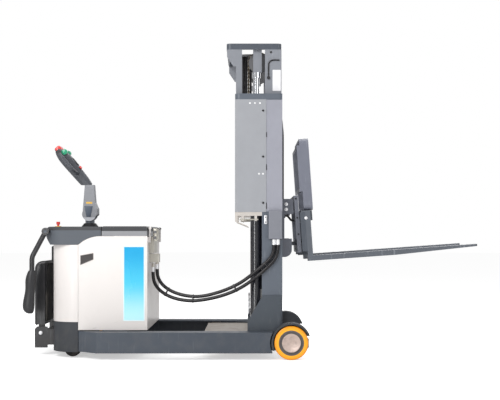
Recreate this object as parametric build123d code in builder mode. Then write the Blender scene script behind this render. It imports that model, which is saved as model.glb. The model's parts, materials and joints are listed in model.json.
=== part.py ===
import math
import os

from build123d import *

os.makedirs("parts", exist_ok=True)

# A stand-on electric reach stacker. +X points to the fork tips, +Z up, the
# origin on the floor at mid length. All sizes are in millimetres.

# Sides of the truck: the right side faces -Y
SIDES = {"right": -1, "left": 1}

# Half the width over the mast, which the legs, cylinders and chains follow
MAST_HALF_WIDTH = 395.0

# Clearances
SEAT_GAP = 0.3
RUNNING_GAP = 0.05
MOVING_GAP = 5.0

# Straddle legs and load wheels
LEG_OUTER_Y = MAST_HALF_WIDTH + 155.0
LEG_WIDTH = 120.0
LEG_BOTTOM = 46.0
LEG_TOP = 186.0
LEG_WALL = 12.0
LEG_REAR_X = -1038.0
LEG_EDGE_RADIUS = 8.0
NOSE_TIP = 4.0
LOAD_AXLE_X = 268.0
LOAD_WHEEL_RADIUS = 115.0
LOAD_WHEEL_WIDTH = 85.0
LOAD_HUB_RADIUS = 85.0
LOAD_CAP_RADIUS = 65.0
LOAD_AXLE_RADIUS = 20.0
LOAD_TYRE_CROWN = 10.0
WHEEL_FACE_INSET = 5.0
AXLE_PLATE_THICKNESS = 15.0
AXLE_PLATE_REAR_X = 100.0
AXLE_PLATE_FRONT_X = 390.0
AXLE_PLATE_STEP_X = 130.0
AXLE_PLATE_TOP = 154.0
FENDER_GAP = 7.0
FENDER_THICKNESS = 13.0
FENDER_CUT_GAP = 9.0
FENDER_REAR_ANGLE = 203.0
FENDER_FRONT_ANGLE = 27.0
FENDER_WALL = 3.0

LEG_INNER_Y = LEG_OUTER_Y - LEG_WIDTH
LOAD_WHEEL_Y = LEG_OUTER_Y - WHEEL_FACE_INSET - LOAD_WHEEL_WIDTH / 2
AXLE_PLATE_Y = LOAD_WHEEL_Y - LOAD_WHEEL_WIDTH / 2 - MOVING_GAP - AXLE_PLATE_THICKNESS / 2
FENDER_INNER_R = LOAD_WHEEL_RADIUS + FENDER_GAP
FENDER_OUTER_R = FENDER_INNER_R + FENDER_THICKNESS

# Body of the tractor end
BODY_HALF_WIDTH = 432.0
BODY_FRONT_X = -711.0
BODY_REAR_X = -1382.0
BODY_CORNER_R = 175.0
COVER_SEAM_X = -1184.0
LID_SEAM_X = -1025.0
LID_SEAM_GAP = 6.0
SKIN = 5.0
SKIRT_BOTTOM = 41.0
SKIRT_TOP = 247.0
COVER_TOP = 773.0
LEDGE_WIDTH = 6.0
LEDGE_HEIGHT = 8.0
PANEL_BOTTOM = 192.0
PANEL_TOP = 833.0
PANEL_ARC_X = -1030.0
COWL_TOP = 899.0
COWL_REAR_X = -1430.0
COWL_CORNER_R = 150.0
COWL_EDGE_R = 28.0
COWL_LIP_Z = 842.0
COWL_WALL = 12.0
LID_TOP = 901.0
LID_EDGE_R = 14.0
JOINT_LINE = 1.5
DECK_BOTTOM = 240.0
DECK_THICKNESS = 14.0
FLOOR_THICKNESS = 8.0
BEAM_FRONT_X = -850.0
BEAM_DEPTH = 160.0
BULKHEAD_THICKNESS = 8.0
BATTERY_HEIGHT = 590.0
BATTERY_MARGIN = 16.0
LID_HINGE_RADIUS = 9.0
LID_HINGE_Z = 889.0
LID_HINGE_Y = 350.0
LID_KNUCKLE = 40.0
LID_PIN_R = 4.0
LID_WALL = 8.0
ESTOP_X = -1355.0
ESTOP_Y = -250.0
PAD_BOTTOM = 652.0
PAD_TOP = 764.0
PAD_HALF_WIDTH = 190.0
PAD_DEPTH = 34.0

# Drive unit, steering column and tiller
DRIVE_X = -1173.0
DRIVE_RADIUS = 115.0
DRIVE_WIDTH = 75.0
DRIVE_HUB_R = 82.0
DRIVE_AXLE_R = 18.0
TURNTABLE_R = 150.0
TURNTABLE_THICKNESS = 20.0
DECK_HOLE_R = 118.0
MOTOR_R = 85.0
MOTOR_HEIGHT = 230.0
GEARCASE_THICKNESS = 42.0
GEARCASE_WIDTH = 110.0
COLUMN_R = 30.0
BOOT_BOTTOM_R = 62.0
BOOT_TOP_R = 38.0
BOOT_TOP = 936.0
TILLER_PIVOT_Z = 992.0
TILLER_PIN_R = 14.0
TILLER_KNUCKLE_R = 30.0
TILLER_KNUCKLE_WIDTH = 44.0
TILLER_HOUSING_R = 50.0
TILLER_HOUSING_WIDTH = 96.0
TILLER_ARM_TOP = 1204.0
TILLER_ARM_TOP_WIDTH = 66.0
TILLER_HEAD_LEAN = 40.0
TILLER_HEAD_LENGTH = 340.0
TILLER_HEAD_THICKNESS = 84.0
HOUSING_BULGE = 60.0
LOOP_R = 14.0

# Casters beside the drive wheel
CASTER_X = -1208.0
CASTER_Y = 322.0
CASTER_RADIUS = 57.5
CASTER_WIDTH = 36.0
CASTER_TRAIL = 30.0
CASTER_HEAD_Z = 150.0
CASTER_HEAD_THICKNESS = 12.0
CASTER_HEAD_R = 42.0
CASTER_STEM_R = 12.0
CASTER_LEG = 6.0
CASTER_MOUNT_R = 45.0

# Standing platform, folded up, and the operator's guard arms
PLATFORM_HINGE_X = -1473.0
PLATFORM_HINGE_Z = 156.0
PLATFORM_HALF_WIDTH = 265.0
PLATFORM_REAR_X = -1519.0
PLATFORM_THICKNESS = 74.0
PLATFORM_BOTTOM = 216.0
PLATFORM_TOP = 659.0
PLATFORM_MAT = 8.0
MAT_INSET = 20.0
PLATFORM_PIN_R = 12.0
PLATFORM_EAR = 16.0
BRACKET_BOTTOM = 52.0
BRACKET_TOP = 199.0
CHEEK = 14.0
CHEEK_Y = 248.0
BRACKET_BASE_X = -1438.0
GUARD_PIVOT_X = -1409.0
GUARD_PIVOT_Z = 866.0
GUARD_Y = 412.0
GUARD_TUBE_R = 17.0
GUARD_ELBOW_X = -1503.0
GUARD_ELBOW_Z = 689.0
GUARD_TUBE_END_Z = 570.0
GUARD_ELBOW_R = 90.0
GUARD_EYE_R = 25.0
GUARD_PIN_R = 12.0
GRIP_TOP_Z = 598.0
GRIP_BOTTOM_Z = 304.0

# Reach carriage
GUSSET_THICKNESS = 15.0
BASE_BOTTOM = 150.0
BASE_THICKNESS = 15.0
CARRIAGE_REAR_X = -330.0
CARRIAGE_FRONT_X = 201.0
SIDE_PLATE_BOTTOM = 75.0
ROLLER_WIDTH = 40.0
ROLLER_XS = (-270.0, 30.0)
ROLLER_PIN_R = 16.0
REACH_BARREL_R = 32.0
REACH_BORE_R = 25.0
REACH_ROD_R = 16.0
REACH_AXIS_Z = 105.0
REACH_BARREL_FRONT_X = -318.0
REACH_EYE_X = 190.0
REACH_EYE_R = 15.0
EYE_LUG = 10.0
EYE_HALF_WIDTH = 14.0
EYE_PIN_R = 8.0
REACH_END_WALL = 12.0
REACH_GLAND = 18.0

# Outer mast
MAST_REAR_X = 72.0
MAST_FRONT_X = 212.0
MAST_WEB = 14.0
MAST_FLANGE = 15.0
MAST_DEPTH = 45.0
MAST_TOP = 1812.0
TOP_BAR_HEIGHT = 40.0
TOP_BAR_REAR_X = -113.0
TOP_BAR_THICKNESS = 12.0
TOP_BAR_RETURN_R = 30.0
GUARD_SHEET = 3.0
GUARD_BOTTOM = 999.0
GUARD_FRONT_X = 102.0
TIE_BOTTOM = 1690.0
BRACKET_BAR = 26.0
HOSE_BOX_DEPTH = 28.0
HOSE_BOX_BOTTOM = 814.0
HOSE_BOX_TOP = 1010.0

# Inner mast
INNER_HALF_WIDTH = MAST_HALF_WIDTH - 50.0
INNER_REAR_X = 94.0
INNER_FRONT_X = 208.0
INNER_BOTTOM = 465.0
INNER_TOP = 2124.0
INNER_BAR_HEIGHT = 41.0
INNER_BAR_REAR_X = -172.0
INNER_WEB = 12.0
INNER_FLANGE = 12.0
INNER_DEPTH = 50.0
MAST_ROLLER_WIDTH = 26.0
MAST_ROLLER_ZS = (520.0, 760.0)
STRIP_REAR_X = -107.0
STRIP_FRONT_X = -65.0
STRIP_BOTTOM = 1400.0
STRIP_DROP = 116.0
HANGER_REAR_X = 12.0
HANGER_FRONT_X = 72.0
HANGER_HALF = 18.0
INNER_TIE_REAR_X = 82.0

# Lift cylinders and chains
CYLINDER_X = 33.0
CYLINDER_Y = MAST_HALF_WIDTH - 95.0
CYLINDER_R = 41.0
CYLINDER_BORE_R = 33.0
CYLINDER_TOP = 1600.0
GLAND_HEIGHT = 60.0
CLAMP_Z = 1490.0
CLAMP_HEIGHT = 40.0
CYLINDER_FLOOR = 15.0
ROD_R = 22.0
ROD_BOTTOM = 525.0
ROD_HEAD_TOP = INNER_TOP - 154.0
ROD_HEAD_BOTTOM = ROD_HEAD_TOP - 39.0
SHEAVE_X = 50.0
SHEAVE_Y = CYLINDER_Y - 50.0
SHEAVE_Z = INNER_TOP - 79.0
SHEAVE_PITCH_R = 70.0
SHEAVE_WIDTH = 24.0
SHEAVE_PIN_R = 14.0
CHAIN_WIDTH = 18.0
CHAIN_THICKNESS = 14.0
CARRIAGE_ANCHOR_Z = 985.0

# Lift carriage, tilting frame and fork carriage
CARRIAGE_PLATE = 18.0
CARRIAGE_PLATE_REAR_X = 112.0
CARRIAGE_PLATE_FRONT_X = 230.0
CARRIAGE_PLATE_BOTTOM = 757.0
CARRIAGE_PLATE_TOP = 1093.0
PIVOT_LUG_X = 292.0
PIVOT_LUG_BOTTOM = 987.0
RAM_CHEEK_X = 282.0
RAM_CHEEK_BOTTOM = 687.0
RAM_CHEEK_TOP = 816.0
RAM_CHEEK_R = 52.0
CROSS_HEIGHTS = ((1000.0, 1085.0), (697.0, 812.0))
CARRIAGE_ROLLER_ZS = (802.0, 1045.0)
CARRIAGE_ROLLER_WIDTH = 28.0
CROSS_FRONT_X = 235.0
TILT_RAM_Z = 780.0
TILT_RAM_R = 26.0
TILT_RAM_REAR_X = 130.0
TILT_RAM_FRONT_X = 255.0
TILT_RAM_WALL = 10.0
TILT_ROD_R = 14.0
TILT_REST = 4.0
TILT_PIVOT_X = 280.0
TILT_PIVOT_Z = 1040.0
TILT_PIN_R = 9.0
TILT_FRAME_REAR = 20.0
TILT_FRAME_DEPTH = 28.0
TILT_FRAME_TOP = 74.0
TILT_FRAME_BOTTOM = -325.0
TILT_HALF_WIDTH = 300.0
TILT_EAR = 14.0
TILT_EAR_R = 22.0
RAM_PIN_X = 300.0
RAM_PIN_R = 7.0
RAM_EYE_R = 15.0
RAM_EYE_HALF = 12.0
RAM_LUG = 10.0
WINDOW_Y = 235.0
SHIFT_GAP = 5.0
FORK_PLATE = 35.0
CLAMP_DROP = 27.0
GRILLE_DEPTH = 20.0
FORK_PLATE_TOP = -45.0
FORK_PLATE_BOTTOM = -318.0
FORK_HALF_SPREAD = 330.0
FORK_WIDTH = 100.0
FORK_THICKNESS = 36.0
FORK_TIP_THICKNESS = 14.0
FORK_LENGTH = 1145.0
FORK_HOOK = 10.0
BLADE_TOP = -350.0
BACKREST_REAR = 82.0
BACKREST_DEPTH = 63.0
BACKREST_BAR = 10.0
BACKREST_BOTTOM = -34.0
BACKREST_TOP = 466.0
BACKREST_CORNER_R = 48.0

# Hydraulic hoses and their fittings
HOSE_R = 12.0
HOSE_END_Z = 786.0
HOSE_END_XS = (154.0, 182.0)
FITTING_Y = -255.0
FITTING_XS = (-690.0, -662.0)
FITTING_BOTTOMS = (600.0, 620.0)
FITTING_TOP = 650.0


def plate(points, plane, thickness, mode=Mode.ADD):
    """A flat plate of the given outline, centred on its plane."""
    with BuildSketch(plane) as outline:
        with BuildLine():
            Polyline(*points, close=True)
        make_face()
    extrude(to_extrude=outline.sketch, amount=thickness / 2, both=True, mode=mode)


def block(low, high, mode=Mode.ADD):
    """A block between its lowest and its highest corner."""
    middle = [(a + b) / 2 for a, b in zip(low, high)]
    with Locations(tuple(middle)):
        Box(*[b - a for a, b in zip(low, high)], mode=mode)


def rod(start, end, radius, mode=Mode.ADD):
    """A round bar from one point to another."""
    run = Vector(*end) - Vector(*start)
    with BuildSketch(Plane(origin=start, z_dir=run)) as circle:
        Circle(radius)
    extrude(to_extrude=circle.sketch, amount=run.length, mode=mode)


def side_plane(y):
    """The upright plane along the truck at y, drawn in X and Z."""
    return Plane.XZ.offset(-y)


def span(side, inner, outer):
    """The low and the high y of a strip between two distances from the middle."""
    return min(side * inner, side * outer), max(side * inner, side * outer)


def save(builder, name):
    """Label a finished sub-part and write it out."""
    builder.part.label = name
    export_step(builder.part, f"parts/{name}.step")


def rear_outline(height, rear_x, front_x, half_width, corner_r):
    """Plan of the tractor end: square in front, rounded at the rear corners."""
    with BuildSketch(Plane.XY.offset(height)) as outline:
        with Locations(((rear_x + front_x) / 2, 0)):
            Rectangle(front_x - rear_x, 2 * half_width)
        fillet(outline.vertices().sort_by(Axis.X)[:2], corner_r)
    return outline.sketch


def rear_band(bottom, top, front_x):
    """A wall that follows the plan of the tractor end, open in front."""
    height = top - bottom
    outer = rear_outline(bottom, BODY_REAR_X, front_x, BODY_HALF_WIDTH, BODY_CORNER_R)
    inner = rear_outline(
        bottom, BODY_REAR_X + SKIN, front_x + SKIN, BODY_HALF_WIDTH - SKIN, BODY_CORNER_R - SKIN
    )
    extrude(to_extrude=outer, amount=height)
    extrude(to_extrude=inner, amount=height, mode=Mode.SUBTRACT)


# Straddle legs: channels open to the inside, noses at the rear and the plates
# and stub axles of the load wheels in front
NOSE_REAR_X = COVER_SEAM_X + 4.0
NOSE_Y = BODY_HALF_WIDTH + 2.0
LEG_MIDDLE_Z = (LEG_BOTTOM + LEG_TOP) / 2
LEG_HEIGHT = LEG_TOP - LEG_BOTTOM
with BuildPart() as legs:
    for side in SIDES.values():
        with BuildSketch(Plane.YZ.offset(LEG_REAR_X)) as channel:
            with Locations((side * (LEG_OUTER_Y - LEG_WIDTH / 2), LEG_MIDDLE_Z)):
                Rectangle(LEG_WIDTH, LEG_HEIGHT)
            outer_corners = channel.vertices().sort_by(Axis.Y)
            fillet(outer_corners[:2] if side < 0 else outer_corners[2:], LEG_EDGE_RADIUS)
            with Locations((side * (LEG_OUTER_Y - LEG_WALL / 2 - LEG_WIDTH / 2), LEG_MIDDLE_Z)):
                Rectangle(LEG_WIDTH - LEG_WALL, LEG_HEIGHT - 2 * LEG_WALL, mode=Mode.SUBTRACT)
        extrude(amount=LOAD_AXLE_X - LEG_REAR_X)
        low_y, high_y = span(side, LEG_INNER_Y - 1, LEG_OUTER_Y + 1)
        rod(
            (LOAD_AXLE_X, low_y, LOAD_WHEEL_RADIUS),
            (LOAD_AXLE_X, high_y, LOAD_WHEEL_RADIUS),
            FENDER_OUTER_R + FENDER_CUT_GAP,
            mode=Mode.SUBTRACT,
        )
        with BuildSketch(Plane.XY.offset(LEG_BOTTOM)):
            with BuildLine():
                Polyline(
                    (LEG_REAR_X, side * LEG_OUTER_Y),
                    (NOSE_REAR_X, side * NOSE_Y),
                    (NOSE_REAR_X, side * (NOSE_Y - NOSE_TIP)),
                    (LEG_REAR_X, side * LEG_INNER_Y),
                    close=True,
                )
            make_face()
        extrude(amount=LEG_HEIGHT)
        flange_bite = LEG_WALL / 4
        plate(
            [
                (AXLE_PLATE_REAR_X, LEG_BOTTOM + LEG_WALL - flange_bite),
                (AXLE_PLATE_FRONT_X - 20, LEG_BOTTOM + LEG_WALL - flange_bite),
                (AXLE_PLATE_FRONT_X, LEG_BOTTOM + LEG_WALL + 20),
                (AXLE_PLATE_FRONT_X, AXLE_PLATE_TOP - 20),
                (AXLE_PLATE_FRONT_X - 20, AXLE_PLATE_TOP),
                (AXLE_PLATE_STEP_X, AXLE_PLATE_TOP),
                (AXLE_PLATE_STEP_X, LEG_TOP - LEG_WALL + flange_bite),
                (AXLE_PLATE_REAR_X, LEG_TOP - LEG_WALL + flange_bite),
            ],
            side_plane(side * AXLE_PLATE_Y),
            AXLE_PLATE_THICKNESS,
        )
        rod(
            (LOAD_AXLE_X, side * AXLE_PLATE_Y, LOAD_WHEEL_RADIUS),
            (LOAD_AXLE_X, side * (LOAD_WHEEL_Y + LOAD_WHEEL_WIDTH / 4), LOAD_WHEEL_RADIUS),
            LOAD_AXLE_RADIUS,
        )
save(legs, "legs")

# Arched covers over the load wheels, each with a wall on the axle plate
with BuildPart() as fenders:
    for side in SIDES.values():
        plate_face = AXLE_PLATE_Y + AXLE_PLATE_THICKNESS / 2
        arch_width = LEG_OUTER_Y - 2 - plate_face
        centre = (LOAD_AXLE_X, LOAD_WHEEL_RADIUS)
        turn = FENDER_REAR_ANGLE - FENDER_FRONT_ANGLE
        with BuildSketch(side_plane(side * (plate_face + arch_width / 2))):
            with BuildLine() as edge:
                outer = CenterArc(centre, FENDER_OUTER_R, FENDER_FRONT_ANGLE, turn)
                inner = CenterArc(centre, FENDER_INNER_R, FENDER_FRONT_ANGLE, turn)
                Line(outer @ 0, inner @ 0)
                Line(outer @ 1, inner @ 1)
            make_face()
        extrude(amount=arch_width / 2, both=True)
        wall_middle = plate_face - FENDER_WALL / 2
        with BuildSketch(side_plane(side * wall_middle)):
            with Locations(centre):
                Circle(FENDER_OUTER_R)
            with Locations((LOAD_AXLE_X, AXLE_PLATE_TOP - FENDER_OUTER_R)):
                Rectangle(3 * FENDER_OUTER_R, 2 * FENDER_OUTER_R, mode=Mode.SUBTRACT)
        extrude(amount=FENDER_WALL / 2, both=True)
save(fenders, "fenders")

# Load wheels: a tyre pressed on a hub whose round cap closes the bore
for side_name, side in SIDES.items():
    inner_y = side * (LOAD_WHEEL_Y - LOAD_WHEEL_WIDTH / 2)
    outer_y = side * (LOAD_WHEEL_Y + LOAD_WHEEL_WIDTH / 2)
    with BuildPart() as load_tyre:
        rod((LOAD_AXLE_X, inner_y, LOAD_WHEEL_RADIUS), (LOAD_AXLE_X, outer_y, LOAD_WHEEL_RADIUS),
            LOAD_WHEEL_RADIUS)
        fillet(load_tyre.edges().filter_by(GeomType.CIRCLE), LOAD_TYRE_CROWN)
        rod((LOAD_AXLE_X, inner_y, LOAD_WHEEL_RADIUS), (LOAD_AXLE_X, outer_y, LOAD_WHEEL_RADIUS),
            LOAD_HUB_RADIUS + SEAT_GAP, mode=Mode.SUBTRACT)
    save(load_tyre, f"load_tyre_{side_name}")
    with BuildPart() as load_hub:
        hub_face = outer_y - side * 2
        recess = outer_y - side * 9
        rod((LOAD_AXLE_X, inner_y, LOAD_WHEEL_RADIUS), (LOAD_AXLE_X, hub_face, LOAD_WHEEL_RADIUS),
            LOAD_HUB_RADIUS)
        rod((LOAD_AXLE_X, recess, LOAD_WHEEL_RADIUS), (LOAD_AXLE_X, outer_y, LOAD_WHEEL_RADIUS),
            LOAD_HUB_RADIUS - 8, mode=Mode.SUBTRACT)
        rod((LOAD_AXLE_X, recess, LOAD_WHEEL_RADIUS),
            (LOAD_AXLE_X, hub_face, LOAD_WHEEL_RADIUS), LOAD_CAP_RADIUS)
        bore_end = side * (LOAD_WHEEL_Y + LOAD_WHEEL_WIDTH / 4 + 1)
        rod((LOAD_AXLE_X, inner_y, LOAD_WHEEL_RADIUS), (LOAD_AXLE_X, bore_end, LOAD_WHEEL_RADIUS),
            LOAD_AXLE_RADIUS + RUNNING_GAP, mode=Mode.SUBTRACT)
    save(load_hub, f"load_hub_{side_name}")

# Rear frame: cross beam, deck with caster mounts, bulkhead and battery floor
BEAM_REAR_X = BEAM_FRONT_X - BEAM_DEPTH
FLOOR_BOTTOM = LEG_TOP + 4.0
INNER_HALF = BODY_HALF_WIDTH - SKIN
CASTER_MOUNT_BOTTOM = CASTER_HEAD_Z + CASTER_HEAD_THICKNESS + 1.0
CASTER_STEM_TOP = CASTER_MOUNT_BOTTOM + 50.0
with BuildPart() as rear_frame:
    block((BEAM_REAR_X, -(LEG_OUTER_Y - LEG_WALL), LEG_BOTTOM + LEG_WALL),
          (BEAM_FRONT_X, LEG_OUTER_Y - LEG_WALL, LEG_TOP - LEG_WALL))
    block((BEAM_REAR_X, -LEG_INNER_Y, LEG_BOTTOM + LEG_WALL), (BEAM_FRONT_X, LEG_INNER_Y, FLOOR_BOTTOM))
    block((BEAM_REAR_X, -INNER_HALF, FLOOR_BOTTOM),
          (BODY_FRONT_X - SKIN, INNER_HALF, FLOOR_BOTTOM + FLOOR_THICKNESS))
    block((BEAM_REAR_X - BULKHEAD_THICKNESS, -INNER_HALF, LEG_BOTTOM + LEG_WALL),
          (BEAM_REAR_X, INNER_HALF, COVER_TOP))
    deck = rear_outline(
        DECK_BOTTOM, BODY_REAR_X + SKIN + SEAT_GAP, BEAM_REAR_X - BULKHEAD_THICKNESS,
        INNER_HALF - SEAT_GAP, BODY_CORNER_R - SKIN - SEAT_GAP
    )
    extrude(to_extrude=deck, amount=DECK_THICKNESS)
    rod((DRIVE_X, 0, DECK_BOTTOM - 1), (DRIVE_X, 0, DECK_BOTTOM + DECK_THICKNESS + 1), DECK_HOLE_R,
        mode=Mode.SUBTRACT)
    for side in SIDES.values():
        rod((CASTER_X, side * CASTER_Y, CASTER_MOUNT_BOTTOM), (CASTER_X, side * CASTER_Y, DECK_BOTTOM),
            CASTER_MOUNT_R)
        rod((CASTER_X, side * CASTER_Y, CASTER_MOUNT_BOTTOM),
            (CASTER_X, side * CASTER_Y, CASTER_STEM_TOP + 1),
            CASTER_STEM_R + RUNNING_GAP, mode=Mode.SUBTRACT)
        low_y, high_y = span(side, INNER_HALF - 12, INNER_HALF)
        block((BEAM_REAR_X, low_y, FLOOR_BOTTOM),
              (BODY_FRONT_X - SKIN, high_y, FLOOR_BOTTOM + 50))
save(rear_frame, "rear_frame")

# Casters: a forked swivel and a plain wheel, trailing behind the stem
for side_name, side in SIDES.items():
    wheel_x = CASTER_X - CASTER_TRAIL
    wheel_y = side * CASTER_Y
    with BuildPart() as caster_fork:
        rod((CASTER_X, wheel_y, CASTER_HEAD_Z), (CASTER_X, wheel_y, CASTER_HEAD_Z + CASTER_HEAD_THICKNESS),
            CASTER_HEAD_R)
        rod((CASTER_X, wheel_y, CASTER_HEAD_Z), (CASTER_X, wheel_y, CASTER_STEM_TOP), CASTER_STEM_R)
        for leg in (-1, 1):
            leg_y = wheel_y + leg * (CASTER_WIDTH / 2 + 3 + CASTER_LEG / 2)
            plate(
                [
                    (CASTER_X - 30, CASTER_HEAD_Z + 6), (CASTER_X + 30, CASTER_HEAD_Z + 6),
                    (CASTER_X + 26, CASTER_HEAD_Z - 10), (wheel_x + 14, CASTER_RADIUS - 12),
                    (wheel_x - 14, CASTER_RADIUS - 12), (wheel_x - 16, CASTER_RADIUS + 12),
                ],
                side_plane(leg_y), CASTER_LEG,
            )
        rod((wheel_x, wheel_y - CASTER_WIDTH / 2 - 3, CASTER_RADIUS),
            (wheel_x, wheel_y + CASTER_WIDTH / 2 + 3, CASTER_RADIUS), 8)
    save(caster_fork, f"caster_fork_{side_name}")
    with BuildPart() as caster_wheel:
        rod((wheel_x, wheel_y - CASTER_WIDTH / 2, CASTER_RADIUS),
            (wheel_x, wheel_y + CASTER_WIDTH / 2, CASTER_RADIUS), CASTER_RADIUS)
        fillet(caster_wheel.edges().filter_by(GeomType.CIRCLE), 6)
        rod((wheel_x, wheel_y - CASTER_WIDTH / 2, CASTER_RADIUS),
            (wheel_x, wheel_y + CASTER_WIDTH / 2, CASTER_RADIUS), 8 + RUNNING_GAP, mode=Mode.SUBTRACT)
    save(caster_wheel, f"caster_wheel_{side_name}")

# Drive unit: turntable, upright motor, gear case and steering column
TURNTABLE_BOTTOM = DECK_BOTTOM + DECK_THICKNESS + RUNNING_GAP
MOTOR_BOTTOM = TURNTABLE_BOTTOM + TURNTABLE_THICKNESS
GEARCASE_Y = DRIVE_WIDTH / 2 + MOVING_GAP + GEARCASE_THICKNESS / 2
with BuildPart() as drive_unit:
    rod((DRIVE_X, 0, TURNTABLE_BOTTOM), (DRIVE_X, 0, MOTOR_BOTTOM), TURNTABLE_R)
    rod((DRIVE_X, 0, MOTOR_BOTTOM), (DRIVE_X, 0, MOTOR_BOTTOM + MOTOR_HEIGHT), MOTOR_R)
    rod((DRIVE_X, 0, MOTOR_BOTTOM + MOTOR_HEIGHT), (DRIVE_X, 0, BOOT_TOP), COLUMN_R)
    plate(
        [
            (DRIVE_X - GEARCASE_WIDTH / 2, TURNTABLE_BOTTOM),
            (DRIVE_X + GEARCASE_WIDTH / 2, TURNTABLE_BOTTOM),
            (DRIVE_X + GEARCASE_WIDTH / 2, DRIVE_RADIUS), (DRIVE_X + 35, DRIVE_RADIUS - 55),
            (DRIVE_X - 35, DRIVE_RADIUS - 55), (DRIVE_X - GEARCASE_WIDTH / 2, DRIVE_RADIUS),
        ],
        side_plane(GEARCASE_Y), GEARCASE_THICKNESS,
    )
    rod((DRIVE_X, GEARCASE_Y, DRIVE_RADIUS), (DRIVE_X, -DRIVE_WIDTH / 4, DRIVE_RADIUS), DRIVE_AXLE_R)
    block((DRIVE_X - TILLER_KNUCKLE_R, -TILLER_KNUCKLE_WIDTH / 2, BOOT_TOP - 6),
          (DRIVE_X + TILLER_KNUCKLE_R, TILLER_KNUCKLE_WIDTH / 2, TILLER_PIVOT_Z - TILLER_KNUCKLE_R / 2))
    rod((DRIVE_X, -TILLER_KNUCKLE_WIDTH / 2, TILLER_PIVOT_Z),
        (DRIVE_X, TILLER_KNUCKLE_WIDTH / 2, TILLER_PIVOT_Z),
        TILLER_KNUCKLE_R)
    rod((DRIVE_X, -TILLER_HOUSING_WIDTH / 2, TILLER_PIVOT_Z),
        (DRIVE_X, TILLER_HOUSING_WIDTH / 2, TILLER_PIVOT_Z),
        TILLER_PIN_R)
save(drive_unit, "drive_unit")

with BuildPart() as drive_tyre:
    rod((DRIVE_X, -DRIVE_WIDTH / 2, DRIVE_RADIUS), (DRIVE_X, DRIVE_WIDTH / 2, DRIVE_RADIUS), DRIVE_RADIUS)
    fillet(drive_tyre.edges().filter_by(GeomType.CIRCLE), 8)
    rod((DRIVE_X, -DRIVE_WIDTH / 2, DRIVE_RADIUS), (DRIVE_X, DRIVE_WIDTH / 2, DRIVE_RADIUS),
        DRIVE_HUB_R + SEAT_GAP, mode=Mode.SUBTRACT)
save(drive_tyre, "drive_tyre")

with BuildPart() as drive_hub:
    rod((DRIVE_X, -DRIVE_WIDTH / 2, DRIVE_RADIUS), (DRIVE_X, DRIVE_WIDTH / 2, DRIVE_RADIUS), DRIVE_HUB_R)
    rod((DRIVE_X, -DRIVE_WIDTH / 4 - 1, DRIVE_RADIUS), (DRIVE_X, DRIVE_WIDTH / 2, DRIVE_RADIUS),
        DRIVE_AXLE_R + RUNNING_GAP, mode=Mode.SUBTRACT)
save(drive_hub, "drive_hub")

# Body panels of the tractor end
with BuildPart() as side_panels:
    for side in SIDES.values():
        with BuildSketch(side_plane(side * (BODY_HALF_WIDTH - SKIN / 2))) as outline:
            with BuildLine():
                TangentArc((PANEL_ARC_X, PANEL_TOP), (COVER_SEAM_X + JOINT_LINE, COVER_TOP), tangent=(-1, 0))
                Polyline(
                    (COVER_SEAM_X + JOINT_LINE, COVER_TOP), (COVER_SEAM_X + JOINT_LINE, PANEL_BOTTOM),
                    (BODY_FRONT_X, PANEL_BOTTOM), (BODY_FRONT_X, PANEL_TOP), (PANEL_ARC_X, PANEL_TOP),
                )
            make_face()
        extrude(amount=SKIN / 2, both=True)
save(side_panels, "side_panels")

with BuildPart() as skirt:
    rear_band(SKIRT_BOTTOM, SKIRT_TOP - JOINT_LINE, COVER_SEAM_X)
save(skirt, "skirt")

# The rear cover has a ledge inside its top edge that carries the cowl
with BuildPart() as rear_cover:
    rear_band(SKIRT_TOP, COVER_TOP, COVER_SEAM_X)
    ledge_bottom = COVER_TOP + JOINT_LINE - LEDGE_HEIGHT
    ledge = rear_outline(ledge_bottom, BODY_REAR_X + SKIN, COVER_SEAM_X, BODY_HALF_WIDTH - SKIN,
                         BODY_CORNER_R - SKIN)
    extrude(to_extrude=ledge, amount=LEDGE_HEIGHT)
    ledge_inset = SKIN + LEDGE_WIDTH
    hollow = rear_outline(ledge_bottom, BODY_REAR_X + ledge_inset, COVER_SEAM_X + SKIN,
                          BODY_HALF_WIDTH - ledge_inset, BODY_CORNER_R - ledge_inset)
    extrude(to_extrude=hollow, amount=LEDGE_HEIGHT, mode=Mode.SUBTRACT)
save(rear_cover, "rear_cover")

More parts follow.
